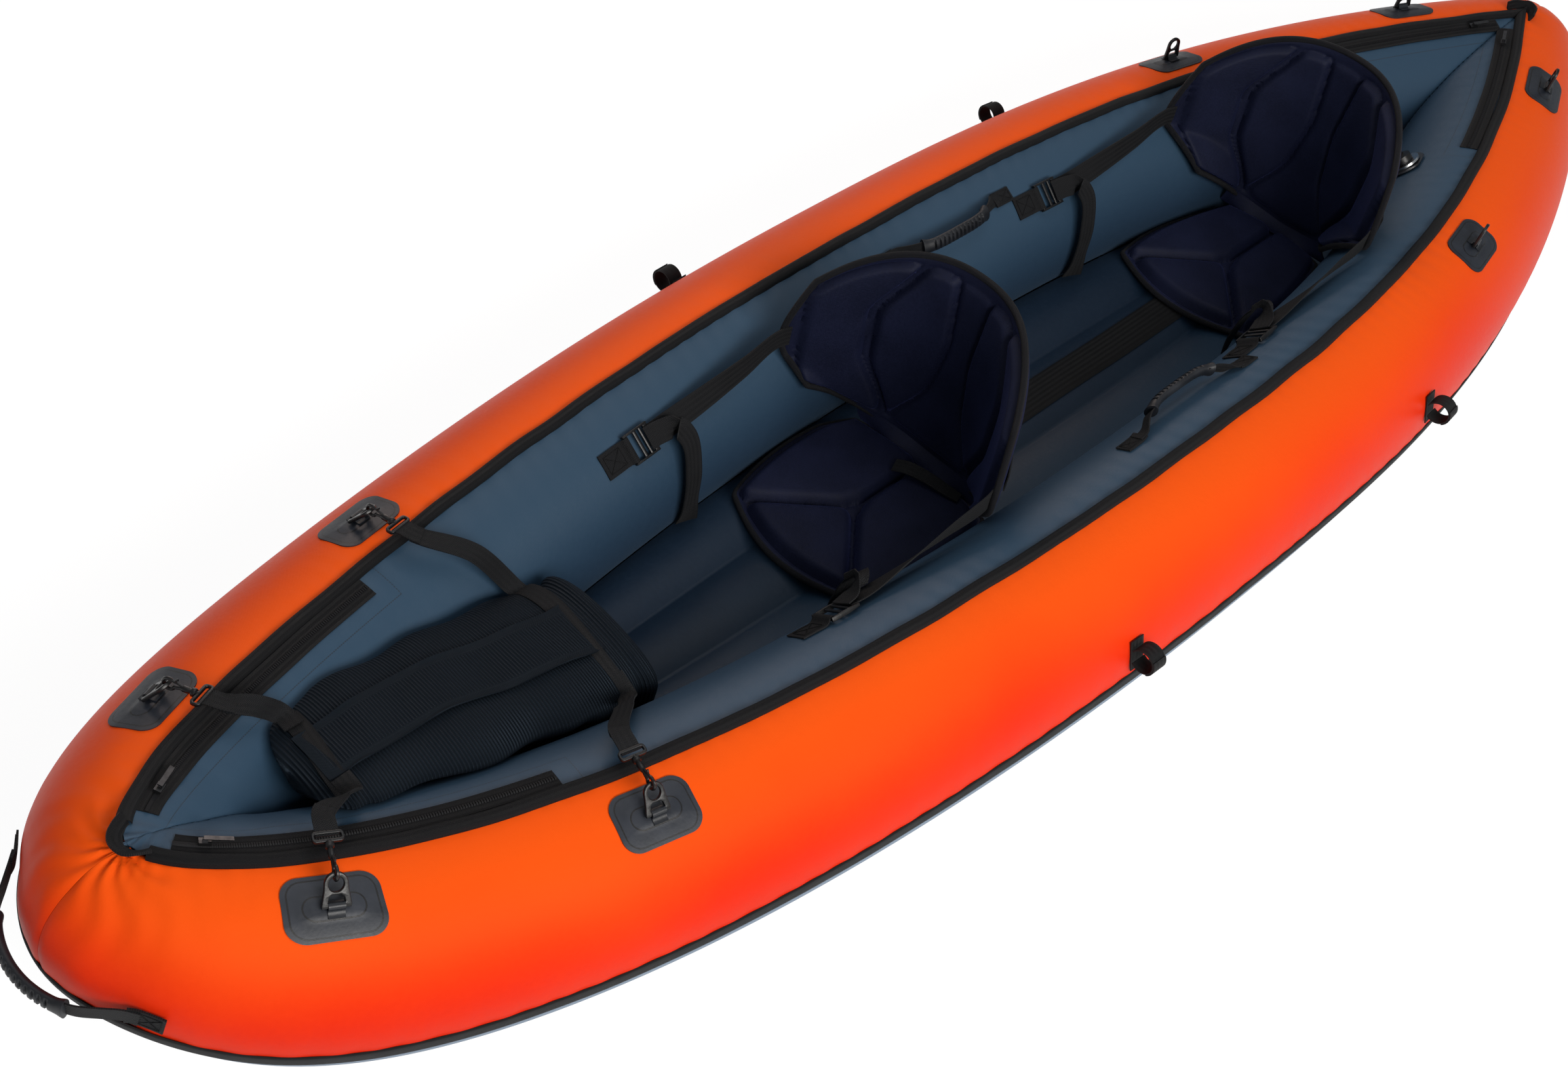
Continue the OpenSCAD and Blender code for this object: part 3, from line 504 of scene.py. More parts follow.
class Val:
    """A shader socket that does sums."""

    def __init__(self, finish, socket):
        self.finish = finish
        self.socket = socket

    def op(self, name, *others):
        return self.finish.node("Math", {"operation": name}, [self, *others])

    def __rsub__(self, o):
        return self.finish.node("Math", {"operation": "SUBTRACT"}, [o, self])

    __add__ = __radd__ = sum_of("ADD")
    __mul__ = __rmul__ = sum_of("MULTIPLY")
    __sub__ = sum_of("SUBTRACT")
    __pow__ = sum_of("POWER")
    __abs__ = sum_of("ABSOLUTE")
    __lt__ = sum_of("LESS_THAN")
    __gt__ = sum_of("GREATER_THAN")
    low = sum_of("MINIMUM")
    high = sum_of("MAXIMUM")

    def saw(self, pitch):
        """0 to 1 over each pitch."""
        return (self * (1 / pitch)).op("FRACT")

    def swing(self, pitch):
        """-1 to 1 and back over each pitch."""
        return (self * (2 * math.pi / pitch)).op("SINE")

    def wave(self, pitch):
        """0 to 1 and back over each pitch."""
        return self.swing(pitch) * 0.5 + 0.5

    def ramp(self, lo, hi):
        return self.finish.node("MapRange", {"interpolation_type": "SMOOTHSTEP"}, [self, lo, hi, 0.0, 1.0])


class Finish:
    """A procedural material on one principled shader."""

    def __init__(self, name, **constants):
        self.mat = bpy.data.materials.new(name)
        self.mat.use_nodes = True
        self.tree = self.mat.node_tree
        self.shader = self.tree.nodes["Principled BSDF"]
        for key, value in constants.items():
            self.shader.inputs[key.replace("_", " ")].default_value = value

    def node(self, kind, settings=None, inputs=(), out=0):
        n = self.tree.nodes.new("ShaderNode" + kind)
        for key, value in (settings or {}).items():
            setattr(n, key, value)
        for key, value in inputs.items() if isinstance(inputs, dict) else enumerate(inputs):
            if isinstance(value, Val):
                self.tree.links.new(value.socket, n.inputs[key])
            else:
                n.inputs[key].default_value = value
        return Val(self, n.outputs[out])

    def coords(self, kind="Object"):
        return self.node("TexCoord", out=kind)

    def parts(self, vector):
        n = self.node("SeparateXYZ", None, [vector]).socket.node
        return [Val(self, s) for s in n.outputs]

    def noise(self, at, scale, detail=2.0, stretch=None):
        if stretch is not None:
            at = self.node("Mapping", None, {"Vector": at, "Scale": stretch})
        return self.node("TexNoise", None, {"Vector": at, "Scale": scale, "Detail": detail})

    def blend(self, factor, a, b):
        return self.node("Mix", {"data_type": "RGBA"}, {0: factor, 6: a, 7: b}, out=2)

    def made(self, color, rough, height, depth, strength):
        """Feeds the shader a colour, a roughness and a relief, and gives the material."""
        bump = {"Strength": strength, "Distance": depth, "Height": height}
        inputs = {"Base Color": color, "Roughness": rough, "Normal": self.node("Bump", None, bump)}
        for key, value in inputs.items():
            self.tree.links.new(value.socket, self.shader.inputs[key])
        return self.mat


def rgb(r, g, b):
    return (r, g, b, 1.0)


def weave(u, v, pitch):
    """Over-and-under threads of a plain cloth, 0 to 1."""
    return u.swing(pitch) * v.swing(pitch) * 0.5 + 0.5


def stitches(along, across, pitch=0.004, width=0.0007):
    """A row of stitches where across is nought, with their dashes along."""
    return (abs(across) < width) * (along.saw(pitch) < 0.68)


def coated_cloth(name, deep, bright, tone_and_painted_light, fade, rough, sheen, tint, hems=(), **more):
    """Satin coated polyester: fine weave under the coat, soft creases, faint rubs, stitched hems.

    The colour goes over to a second colour where the map's height passes the two ends of fade: painted light
    and shade on the cover, lining and floor, a plain paler tone on the bottom.
    """
    f = Finish(name, Sheen_Weight=sheen, Sheen_Roughness=0.5, Sheen_Tint=tint, **more)
    u, v, _ = f.parts(f.coords("UV"))
    at = f.coords()
    patchy = f.noise(at, 3.1, 3.0)
    fine = f.noise(at, 140.0, 2.0)
    creases = f.noise(at, 9.0, 3.0, (0.35, 1.0, 1.0))
    color = f.blend((patchy * 0.7 + fine * 0.3).ramp(0.3, 0.7), deep, bright)
    # Painted light and shade: the colour goes over to a second colour across the map's height.
    color = f.blend((v + patchy * 0.08 - 0.04).ramp(*fade), color, tone_and_painted_light)
    height = weave(u, v, 0.0016) * 0.10 + fine * 0.22 + creases * 1.6
    marks = None
    for first, last, row in hems:
        line = stitches(u, v - row) * (u > first) * (u < last)
        for end in (first, last):
            line = line.high(stitches(v, u - end) * (v < row))
        marks = line if marks is None else marks.high(line)
    if marks is not None:
        color = f.blend(marks * 0.7, color, rgb(0.02, 0.02, 0.022))
        height = height + marks * 0.5
    return f.made(color, fine * 0.12 + patchy * 0.10 + (rough - 0.11), height, 0.0016, 0.55)


def webbing_cloth(name, dark, light, rib=0.0026):
    """Woven tape: chevron ribs across its width, edge cords, dusty wear."""
    f = Finish(name, Sheen_Weight=0.02, Sheen_Roughness=0.5, Specular_IOR_Level=0.22)
    u, v, _ = f.parts(f.coords("UV"))
    dust = f.noise(f.coords(), 40.0, 3.0)
    ribs = (u + abs(v.saw(0.008) - 0.5) * 0.008).wave(rib)
    color = f.blend((ribs * 0.55 + dust * 0.45).ramp(0.25, 0.85), dark, light)
    height = ribs * 0.7 + v.wave(0.0016) * 0.3
    return f.made(color, dust * 0.2 + 0.58, height, 0.0007, 0.8)


def moulded(name, dark, light, rough, grain=260.0, depth=0.00025, coat=0.0):
    """Moulded plastic or rubber: fine spark texture, faint scuffs."""
    f = Finish(name, Specular_IOR_Level=0.45, Coat_Weight=coat, Coat_Roughness=0.25)
    at = f.coords()
    spark = f.noise(at, grain, 2.0)
    scuff = f.noise(at, 26.0, 4.0)
    color = f.blend(scuff.ramp(0.4, 0.75), dark, light)
    return f.made(color, scuff * 0.22 + spark * 0.08 + (rough - 0.15), spark, depth, 0.6)


def bag_mesh(name, hem=None):
    """Ribbed mesh: cords across the bag, glossier on their crests, which are painted lighter as a painted
    glint while the gaps between are painted dark as painted shade; a plain hem inside given edges, its weave
    and stitches lighter through the same mask.
    """
    f = Finish(name, Specular_IOR_Level=0.32, Specular_Tint=rgb(0.55, 0.75, 1.0))
    u, v, _ = f.parts(f.coords("UV"))
    cords = u.wave(0.0046)
    knots = v.wave(0.0026)
    uneven = f.noise(f.coords(), 22.0, 3.0)
    gloss_and_painted_glint = cords.ramp(0.35, 0.95) * knots.ramp(-0.3, 0.8)
    height = cords * 0.85 + knots * 0.15
    if hem is not None:
        long, wide, band = hem
        edge = u.low(long - u).low(v.low(wide - v))
        plain = edge < band
        thread = stitches(u + v, edge - band * 0.8, 0.0045, 0.0006)
        threads = weave(u, v, 0.0018)
        gloss_and_painted_glint = gloss_and_painted_glint * (1 - plain) + plain * threads * 0.22 + thread * 0.25
        height = height * (1 - plain) + plain * (threads * 0.25 + 0.9) - thread * 0.3
    # Painted glint: the cords' crests painted lighter and the gaps dark as painted shade, with random
    # unevenness.
    tone = gloss_and_painted_glint * (uneven * 0.6 + 0.5)
    color = f.blend(tone, rgb(0.0005, 0.0006, 0.0010), rgb(0.007, 0.010, 0.015))
    return f.made(color, 0.72 - gloss_and_painted_glint * 0.40, height, 0.0020, 1.0)


def seat_cloth(name):
    """Navy-black knit laminated on foam."""
    navy = rgb(0.25, 0.32, 1.0)
    f = Finish(name, Sheen_Weight=0.09, Sheen_Roughness=0.35, Sheen_Tint=navy, Specular_IOR_Level=0.15)
    at = f.coords()
    x, y, z = f.parts(at)
    cloud = f.noise(at, 12.0, 3.0)
    lint = f.noise(at, 300.0, 1.0)
    tone = (cloud * 0.7 + lint * 0.3).ramp(0.3, 0.7)
    color = f.blend(tone, rgb(0.0040, 0.0056, 0.0180), rgb(0.0076, 0.0100, 0.030))
    height = weave(y + x * 0.35, z + x * 0.8, 0.0019) * 0.45 + lint * 0.4 + cloud * 1.2
    return f.made(color, lint * 0.15 + 0.55, height, 0.0007, 0.6)


def patch_sheet(name):
    """Dark slate sheet with two rows of stitching."""
    f = Finish(name, Specular_IOR_Level=0.5)
    u, v, _ = f.parts(f.coords("UV"))
    at = f.coords()
    grain = f.noise(at, 220.0, 2.0)
    cloud = f.noise(at, 30.0, 3.0)

    def row(half_l, half_w, r):
        du = abs(u) - (half_l - r)
        dv = abs(v) - (half_w - r)
        far_u, far_v = du.high(0.0), dv.high(0.0)
        rim = (far_u * far_u + far_v * far_v) ** 0.5 + du.high(dv).low(0.0) - r
        return abs(rim) < 0.0009

    lines = row(0.0465, 0.0310, 0.017).high(row(0.0325, 0.0130, 0.0129))
    thread = lines * ((u + v).saw(0.0042) < 0.7)
    color = f.blend(cloud.ramp(0.3, 0.75), rgb(0.010, 0.013, 0.020), rgb(0.017, 0.021, 0.031))
    color = f.blend(lines, color, rgb(0.002, 0.002, 0.003))
    height = grain * 0.25 + cloud * 0.5 - lines * 0.8 + thread * 0.9
    return f.made(color, grain * 0.15 + cloud * 0.15 + 0.30, height, 0.0006, 0.8)


def metal(name, tone, rough):
    f = Finish(name, Metallic=1.0)
    rub = f.noise(f.coords(), 90.0, 3.0)
    color = f.blend(rub.ramp(0.35, 0.7), rgb(*tone), rgb(*[c * 0.7 for c in tone]))
    return f.made(color, rub * 0.2 + (rough - 0.1), rub, 0.0001, 0.3)


# Where the zips start and end along the hull, and the stitched hems below them
ZIP_RUNS = (
    ("bow", length_at(1.497), length_at(1.073)),
    ("stern", length_at(-1.030), length_at(-1.425)),
)
HEM_ROW = 0.058
HEM_PAST = 0.030
HEM_TIP = 0.05
HEMS = (
    (HEM_TIP, ZIP_RUNS[0][2] + HEM_PAST, HEM_ROW),
    (ZIP_RUNS[1][1] - HEM_PAST, GIRTH - HEM_TIP, HEM_ROW),
)
BLUE_GLEAM = rgb(0.45, 0.70, 1.0)
ORANGE = coated_cloth(
    "cover_orange",
    deep=rgb(0.76, 0.020, 0.004),
    bright=rgb(0.81, 0.028, 0.005),
    # Painted light: the tube's upper part painted more orange as a lit shoulder, the lower side left red as
    # painted shade.
    tone_and_painted_light=rgb(0.84, 0.086, 0.006),
    fade=(0.04, 0.25),
    rough=0.46,
    Specular_IOR_Level=0.14,
    sheen=0.04,
    tint=rgb(1.0, 0.30, 0.04),
    Specular_Tint=rgb(1.0, 0.55, 0.14),
)
BLUE = coated_cloth(
    "lining_slate_blue",
    deep=rgb(0.010, 0.024, 0.048),
    bright=rgb(0.014, 0.032, 0.062),
    # Painted light: the lining painted lighter towards the gunwale as a lit upper wall, darker lower down as
    # painted shade.
    tone_and_painted_light=rgb(0.025, 0.056, 0.096),
    fade=(0.27, 0.08),
    rough=0.44,
    Specular_IOR_Level=0.30,
    sheen=0.08,
    tint=BLUE_GLEAM,
    hems=HEMS,
)
# Painted shade: a darker copy of the lining's blue for the floor in shade, its port half painted lighter as
# painted light.
SHADED_FLOOR_BLUE = coated_cloth(
    "floor_slate_blue_painted_shade",
    deep=rgb(0.005, 0.013, 0.028),
    bright=rgb(0.008, 0.019, 0.038),
    tone_and_painted_light=rgb(0.018, 0.042, 0.074),
    fade=(0.16, 0.36),
    rough=0.42,
    Specular_IOR_Level=0.26,
    sheen=0.04,
    tint=BLUE_GLEAM,
)
BOTTOM = coated_cloth(
    "bottom_blue_grey",
    deep=rgb(0.15, 0.22, 0.32),
    bright=rgb(0.19, 0.27, 0.37),
    tone_and_painted_light=rgb(0.21, 0.29, 0.40),
    fade=(0.2, 0.8),
    rough=0.5,
    Specular_IOR_Level=0.3,
    sheen=0.05,
    tint=rgb(1, 1, 1),
)
BINDING = webbing_cloth("binding_black", rgb(0.0018, 0.0018, 0.0024), rgb(0.005, 0.005, 0.0065), 0.0018)
WEBBING = webbing_cloth("webbing_black", rgb(0.0022, 0.0024, 0.003), rgb(0.0075, 0.008, 0.010))
MESH = bag_mesh("bag_mesh_black")
FLAP_LONG, FLAP_HALF, FLAP_HEM = 0.420, 0.044, 0.013
FLAP = bag_mesh("bag_flap_hemmed", (FLAP_LONG, 2 * FLAP_HALF, FLAP_HEM))
SEAT = seat_cloth("seat_navy_knit")
SEAT_EDGE = webbing_cloth("seat_binding", rgb(0.002, 0.0022, 0.004), rgb(0.006, 0.0065, 0.011), 0.0016)
PATCH = patch_sheet("patch_slate")
LOOP = moulded("loop_slate", rgb(0.007, 0.009, 0.013), rgb(0.013, 0.016, 0.022), 0.45)
PLASTIC = moulded("plastic_black", rgb(0.003, 0.003, 0.0035), rgb(0.007, 0.007, 0.008), 0.36)
GRIP = moulded("grip_rubber", rgb(0.007, 0.008, 0.011), rgb(0.014, 0.016, 0.021), 0.5, 180.0, 0.0004)
VINYL = moulded("vinyl_dark", rgb(0.012, 0.013, 0.016), rgb(0.030, 0.033, 0.040), 0.30, 60.0, 0.0006, 0.4)
FUZZ = webbing_cloth("hook_and_loop_black", rgb(0.002, 0.002, 0.0026), rgb(0.007, 0.007, 0.008), 0.0012)
CHROME = metal("valve_bright", (0.72, 0.74, 0.76), 0.22)
ZINC = metal("slider_black_zinc", (0.10, 0.10, 0.105), 0.4)


def paint(o, finish):
    o.data.materials.clear()
    o.data.materials.append(finish)


def done(o, finish, body="hull", stands_for=(), ride=True):
    """Gives a piece its finish and its body, and hides the parts it stands for."""
    paint(o, finish)
    if ride:
        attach(o, body)
    if stands_for:
        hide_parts(*stands_for)
    return o


# Hull cloth

V_TIP = skin(HALF_BOW, SEAM_DEG)
COVER_WIDE = math.radians(SEAM_DEG - CHINE_DEG) * TUBE_R
LINING_WIDE = math.radians(LINING_END - SEAM_DEG) * TUBE_R
STEM_FROM = 1.4
KEEL_FROM = 0.6
BOTTOM_END = 0.0004
CHINE_W = 0.024
PIPING_W = 0.019
PIPING_RUN = (length_at(1.512), GIRTH - 0.03)
# Folded bindings at the tips: place, reach past it, way; webbing's width, thickness, step and curl
FOLDS = (("bow_fold", 1.516, 0.013, 1), ("stern_fold", -1.478, 0.020, -1))
FOLD_WEB = (0.024, 0.0034, 0.003, 0.0022)
FOLD_HALF = 0.024


def tube_middle(side):
    """Gives the nearest middle of a tube to each point, to tell out from in."""

    def centre(p):
        x = np.clip(p[:, 0], -HALF_STERN, HALF_BOW)
        row = stations(x)
        return np.stack([x, side * row[:, 1], row[:, 4]], -1)

    return centre


def gathers(s, pitch, shift, fade):
    """Waves along a seam, shifted to look uneven, dying away from it."""
    return np.exp(-fade) * np.sin(s * 2 * math.pi / pitch + shift)


def cover_puckers(s, deg, p, row):
    """Gathers along the gunwale and chine, folds round the bow's V, the stem seams' dip."""
    down = np.radians(SEAM_DEG - deg) * row[:, 5]
    up = np.radians(deg - chine_at(row)) * row[:, 5]
    wavy = ripple(s, down, 11, low=9, high=40)
    out = 0.0010 * gathers(s, 0.034, 2.6 * wavy, down / 0.028) * (0.55 + 0.45 * ripple(s, down, 5))
    out = out + 0.0008 * gathers(s, 0.046, 2.0 * wavy, up / 0.02)
    middle = np.abs(p[:, 1])
    rho = np.linalg.norm(p - V_TIP * [1, 0, 1], axis=1)
    psi = np.arctan2(middle, p[:, 0] - V_TIP[0] + 0.004)
    folds = np.sin(13 * psi + 1.6 * np.sin(rho * 60)) * np.exp(-rho / 0.055) * ease(rho / 0.02)
    out = out + 0.0034 * folds - 0.0055 * dip(rho, 0.055)
    out = out - 0.0040 * dip(psi - 0.95, 0.28) * dip(rho - 0.15, 0.10)
    return out - 0.0016 * dip(middle, 0.0045) * (np.abs(p[:, 0]) > STEM_FROM)


def cover(name, side):
    def shape(u, v):
        s = u * GIRTH
        row = at_length(s)
        deg = mix(chine_at(row), SEAM_DEG, v)
        p = on_tube(row, deg, 0, side)
        return on_tube(row, deg, cover_puckers(s, deg, p, row), side)

    o = cloth(f"{name}_cover_cloth", 620, 54, shape, (GIRTH, COVER_WIDE), tube_middle(side), thick=0.0022)
    done(o, ORANGE, stands_for=[f"{name}_cover"])


def lining(name, side):
    def shape(u, v):
        s = u * GIRTH
        deg = mix(SEAM_DEG, LINING_END, v)
        row = at_length(s)
        d = np.radians(deg - SEAM_DEG) * row[:, 5]
        wavy = ripple(s, d, 23, low=9, high=34)
        off = 0.0011 * gathers(s, 0.041, 2.4 * wavy, d / 0.03)
        off = off + 0.0012 * ripple(s * 0.6, d, 31, low=4, high=15)
        near = np.minimum(s, GIRTH - s)
        off = off + 0.0022 * dip(near - 0.22, 0.12) * ripple(s * 2.4, d, 41, low=14, high=30)
        return on_tube(row, deg, off - LAY, side)

    o = cloth(f"{name}_lining_cloth", 560, 64, shape, (GIRTH, LINING_WIDE), tube_middle(side), thick=0.0018)
    done(o, BLUE, stands_for=[f"{name}_lining"])


def bottom():
    def shape(u, v):
        row = at_length(mix(BOTTOM_END, GIRTH - BOTTOM_END, u))
        w = 1 - np.abs(2 * v - 1)
        p = on_tube(row, mix(chine_at(row) - 0.2, -89.4, np.minimum(1, w / KEEL_FROM)))
        lead = np.where(row[:, 3] < 0.05, 0, row[:, 1] / np.maximum(0.05, row[:, 3])) - 0.0008
        keel = xyz(row[:, 0] - lead * row[:, 2], 0.0, row[:, 4] - row[:, 5])
        t = np.clip((w - KEEL_FROM) / (1 - KEEL_FROM), 0, 1)[:, None]
        p = p * (1 - t) + keel * t
        p[:, 1] *= np.where(v < 0.5, 1, -1)
        return p

    o = cloth("bottom_cloth", 260, 70, shape, (GIRTH, 1.2), lambda p: ground(p) + [0, 0, 0.5], thick=0.0025)
    done(o, BOTTOM, stands_for=["bottom_panel"])


def tape_strip(name, nu, middle, width, profile, seed, s0=0.0, s1=GIRTH, wander=0.0009):
    """Strips along both tubes: middle gives their angle, profile the height over the width from -1 to 1."""

    def strip(label, side):
        def shape(u, v):
            s = mix(s0, s1, u)
            row = at_length(s)
            w = 2 * v - 1
            stray = wander * ripple(s, 0 * s + side, seed, low=18, high=60)
            deg = middle(row) + np.degrees((w * width / 2 + stray) / row[:, 5])
            return on_tube(row, deg, LAY + profile(w, s), side)

        return cloth(f"{name}_{label}", nu, 14, shape, (s1 - s0, width), tube_middle(side), thick=0.0012)

    return join(name, [strip(label, side) for label, side in SIDES])


def bead_profile(w, s):
    lumpy = 1 + 0.10 * ripple(s, w * 0.01, 3, low=40, high=120)
    return 0.0068 * np.sqrt(np.maximum(0, 1 - np.abs(w) ** 2.4)) * lumpy


def band_profile(w, _):
    return 0.0020 * np.sqrt(np.maximum(0, 1 - np.abs(w) ** 6))


def zip_profile(w, _):
    return 0.0012 + 0.0006 * (np.abs(w) > 0.86)


def trim():
    piping = tape_strip("gunwale_binding", 760, steady(SEAM_DEG), PIPING_W, bead_profile, 7, *PIPING_RUN)
    done(piping, BINDING, stands_for=["gunwale_piping"])
    tape = tape_strip("chine_band", 420, chine_at, CHINE_W, band_profile, 9)
    done(tape, BINDING, stands_for=["chine_tape"])


def tip_fold(name, x, reach, way):
    """The binding's folded end across a tip of the cockpit."""
    base = skin(x, SEAM_DEG, LAY)
    v = np.linspace(-1, 1, 9)
    past = 0.003 + reach * (1 - v * v) - 0.010 * np.abs(v) ** 3
    line = xyz(base[0] + way * past, FOLD_HALF * v, base[2] + 0.0045 - 0.003 * v * v)
    o = ribbon(name, line, [[way * 0.75, 0, 0.66]] * 9, *FOLD_WEB)
    co = points_of(o)
    co[:, 2] += 0.0012 * ripple(co[:, 0], co[:, 1], 77, low=120, high=320)
    return move_points(o, co)


def tips():
    folds = join("tip_bindings", [tip_fold(*fold) for fold in FOLDS])
    done(folds, BINDING, stands_for=["stem_bindings"])


# Zips

ZIP_W = 0.028
TOOTH = (0.0021, 0.0062, 0.0021)
TOOTH_PITCH = 0.0036
TOOTH_OFF = FLAT_LAY + 0.0016
TOOTH_TAPER = 0.35
# Half of the piping, a gap and half of the zip, along the skin
ZIP_MID = SEAM_DEG + math.degrees((0.008 + 0.003 + 0.013) / TUBE_R)


def zip_teeth(s0, s1, side):
    """A row of teeth along a zip's middle, narrower at the top."""
    count = int((s1 - s0) / TOOTH_PITCH)
    mids = s0 + (np.arange(count) + 0.5) * TOOTH_PITCH
    rows = at_length(mids)
    here = on_tube(rows, ZIP_MID, TOOTH_OFF, side)
    along = unit(on_tube(at_length(mids + MM), ZIP_MID, TOOTH_OFF, side) - here)
    out = unit(on_tube(rows, ZIP_MID, 0.01, side) - on_tube(rows, ZIP_MID, 0.0, side))
    axes = (along, np.cross(out, along), out)
    start()
    bpy.ops.mesh.primitive_cube_add(size=1)
    tooth = bpy.context.object
    corner = points_of(tooth) * TOOTH
    corner[:, 1] *= 1 - TOOTH_TAPER * (corner[:, 2] > 0)
    faces = [list(p.vertices) for p in tooth.data.polygons]
    points = here[:, None] + sum(corner[None, :, k : k + 1] * axis[:, None] for k, axis in enumerate(axes))
    cells = [[i + k * len(corner) for i in face] for k in range(count) for face in faces]
    tooth.data.clear_geometry()
    tooth.data.from_pydata(points.reshape(-1, 3).tolist(), [], cells)
    return tidy(tooth, 1e-7)


def zips():
    tapes = []
    for label, s0, s1 in ZIP_RUNS:
        name = f"{label}_zip_band"
        tapes.append(tape_strip(name, 150, steady(ZIP_MID), ZIP_W, zip_profile, 19, s0, s1, wander=0.0004))
        tapes += [zip_teeth(s0, s1, side) for _, side in SIDES]
    done(join("zip_bands", tapes), BINDING, stands_for=["zip_tapes"])


# Floor

FLOOR_H = 0.100
HUMP_D = 0.012
FLOOR_BOW = HALF_BOW * 0.80
FLOOR_AFT = -HALF_STERN * 0.74
LINER_TOP = 0.0024
STRIP_AFT, STRIP_FORE, STRIP_HALF = -0.86, 0.44, 0.029


def hump(u):
    """Height of the three chambers across the floor, 0 to 1."""
    t = np.where(np.abs(u) < 1 / 3, 3 * u, 3 * (np.abs(u) - 2 / 3))
    return 1 - t * t


def floor_lining():
    def shape(u, v):
        x = mix(FLOOR_AFT, FLOOR_BOW, u)
        w = 2 * v - 1
        f = np.abs(x) / np.where(x >= 0, HALF_BOW, HALF_STERN)
        top = FLOOR_H + rise_at(x)
        half = np.maximum(0.006, inner_y(x, top - HUMP_D) - 0.004 - 0.009 * f**4)
        fold = np.exp(-np.minimum(x - FLOOR_AFT, FLOOR_BOW - x) / 0.10)
        z = top - HUMP_D * (1 - hump(w)) + LINER_TOP
        z = z + 0.0009 * ripple(x, w * 0.2, 61, low=6, high=26)
        z = z + 0.004 * fold * ripple(x * 3, w * 0.3, 63, low=20, high=50)
        return xyz(x, w * half, z)

    o = cloth("floor_cloth", 420, 84, shape, (FLOOR_BOW - FLOOR_AFT, 0.34), ground, thick=0.0014)
    # The floor's finish is a darker copy of the lining's blue: painted shade.
    done(o, SHADED_FLOOR_BLUE, stands_for=["floor_lining"])


def floor_strip():
    def shape(u, v):
        x = mix(STRIP_AFT, STRIP_FORE, u)
        w = 2 * v - 1
        z = FLOOR_H + rise_at(x) + LINER_TOP + LAY + 0.0020 * np.sqrt(1 - np.abs(w) ** 10) - 0.0016 * w * w
        return xyz(x, w * STRIP_HALF + 0.0008 * ripple(x, 0 * x, 15, low=8, high=30), z)

    size = (STRIP_FORE - STRIP_AFT, 2 * STRIP_HALF)
    o = cloth("floor_band", 240, 12, shape, size, ground, thick=0.0010)
    done(o, FUZZ, stands_for=["floor_strip"])


# Seats

SEAT_X = 0.142
SEAT_PITCH = 0.940
SEATS = (("front", SEAT_X), ("rear", SEAT_X - SEAT_PITCH))
BACK_T = 0.022
BASE_L = 0.318
BASE_W = 0.335
BASE_LOW = 0.1052
BASE_T = 0.034
BASE_RIM = 0.006
BASE_REAR = BACK_T / 2 + 0.004
HINGE_Z = BASE_LOW + 0.010
BACK_H = 0.362
BACK_W = 0.205
WING_REACH = 0.160
WING_LOW = 0.112
WING_HIGH = 0.268
WING_ROOM = 0.018
BACK_CORNER = 0.34
BASE_CORNER = 0.42
# About how far a pad's middle is from its rim
BASE_DEEP = 0.155
BACK_DEEP = 0.18
# Webbing behind a back: how high, the share of the back's width, its own width
BACK_BANDS = ((0.52, 1, 0.036), (0.80, 0.62, 0.025))


def swell(t):
    """Rounded step from 0 to 1."""
    t = np.clip(t, 0, 1)
    return np.sqrt(np.maximum(0, 1 - (1 - t) ** 2))


def disc_map(u, w, k):
    """Rounds the corners of a square of -1 to 1."""
    return u * np.sqrt(1 - k * w * w / 2), w * np.sqrt(1 - k * u * u / 2)


def seg(px, py, a, b):
    """Distance from points to a line between two points."""
    d = np.subtract(b, a)
    t = np.clip(((px - a[0]) * d[0] + (py - a[1]) * d[1]) / np.dot(d, d), 0, 1)
    return np.hypot(px - a[0] - t * d[0], py - a[1] - t * d[1])


def soft_min(distances, r):
    """The least distance, its corners rounded to about r."""
    return -r * np.logaddexp.reduce([-d / r for d in distances])


def bend(v, at, value):
    """A line through the given values with its corners eased."""
    fine = np.linspace(at[0], at[-1], 121)
    window = np.hanning(31)
    line = np.pad(np.interp(fine, at, value), 15, "edge")
    return np.interp(v, fine, np.convolve(line, window / window.sum(), "valid"))


def pad(name, cells, corner, surface, body, node):
    """A closed pad: surface(way, u, v, ring) lays out its two faces, ring from 0 at the rim to 1."""

    def face(way):
        def shape(a, b):
            p, q = 2 * a - 1, 2 * b - 1
            u, w = disc_map(p, q, corner)
            return surface(way, u, (w + 1) / 2, np.minimum(1 - np.abs(p), 1 - np.abs(q)))

        return grid(name, *cells, shape)

    o = tidy(join(name, [face(1), face(-1)]), 2e-5)
    done(shade(o, 70), SEAT, body, [node])


def pad_rim(count, corner):
    """Across and up round the rim of a pad."""
    a = np.linspace(-1, 1, count)[:-1]
    one = np.ones_like(a)
    u, w = disc_map(np.concatenate([a, one, -a, -one]), np.concatenate([-one, a, one, -a]), corner)
    return u, (w + 1) / 2


def base_xy(x0, u, v):
    wide = BASE_W / 2 * mix(0.84, 1, 1 - (np.abs(v - 0.5) / 0.5) ** 2.4)
    half = np.minimum(wide, inner_y(x0 + BASE_REAR + BASE_L * v, BASE_LOW + BASE_T) - 0.005)
    return x0 + BASE_REAR + BASE_L * v * (1 - 0.10 * u * u * v), u * half


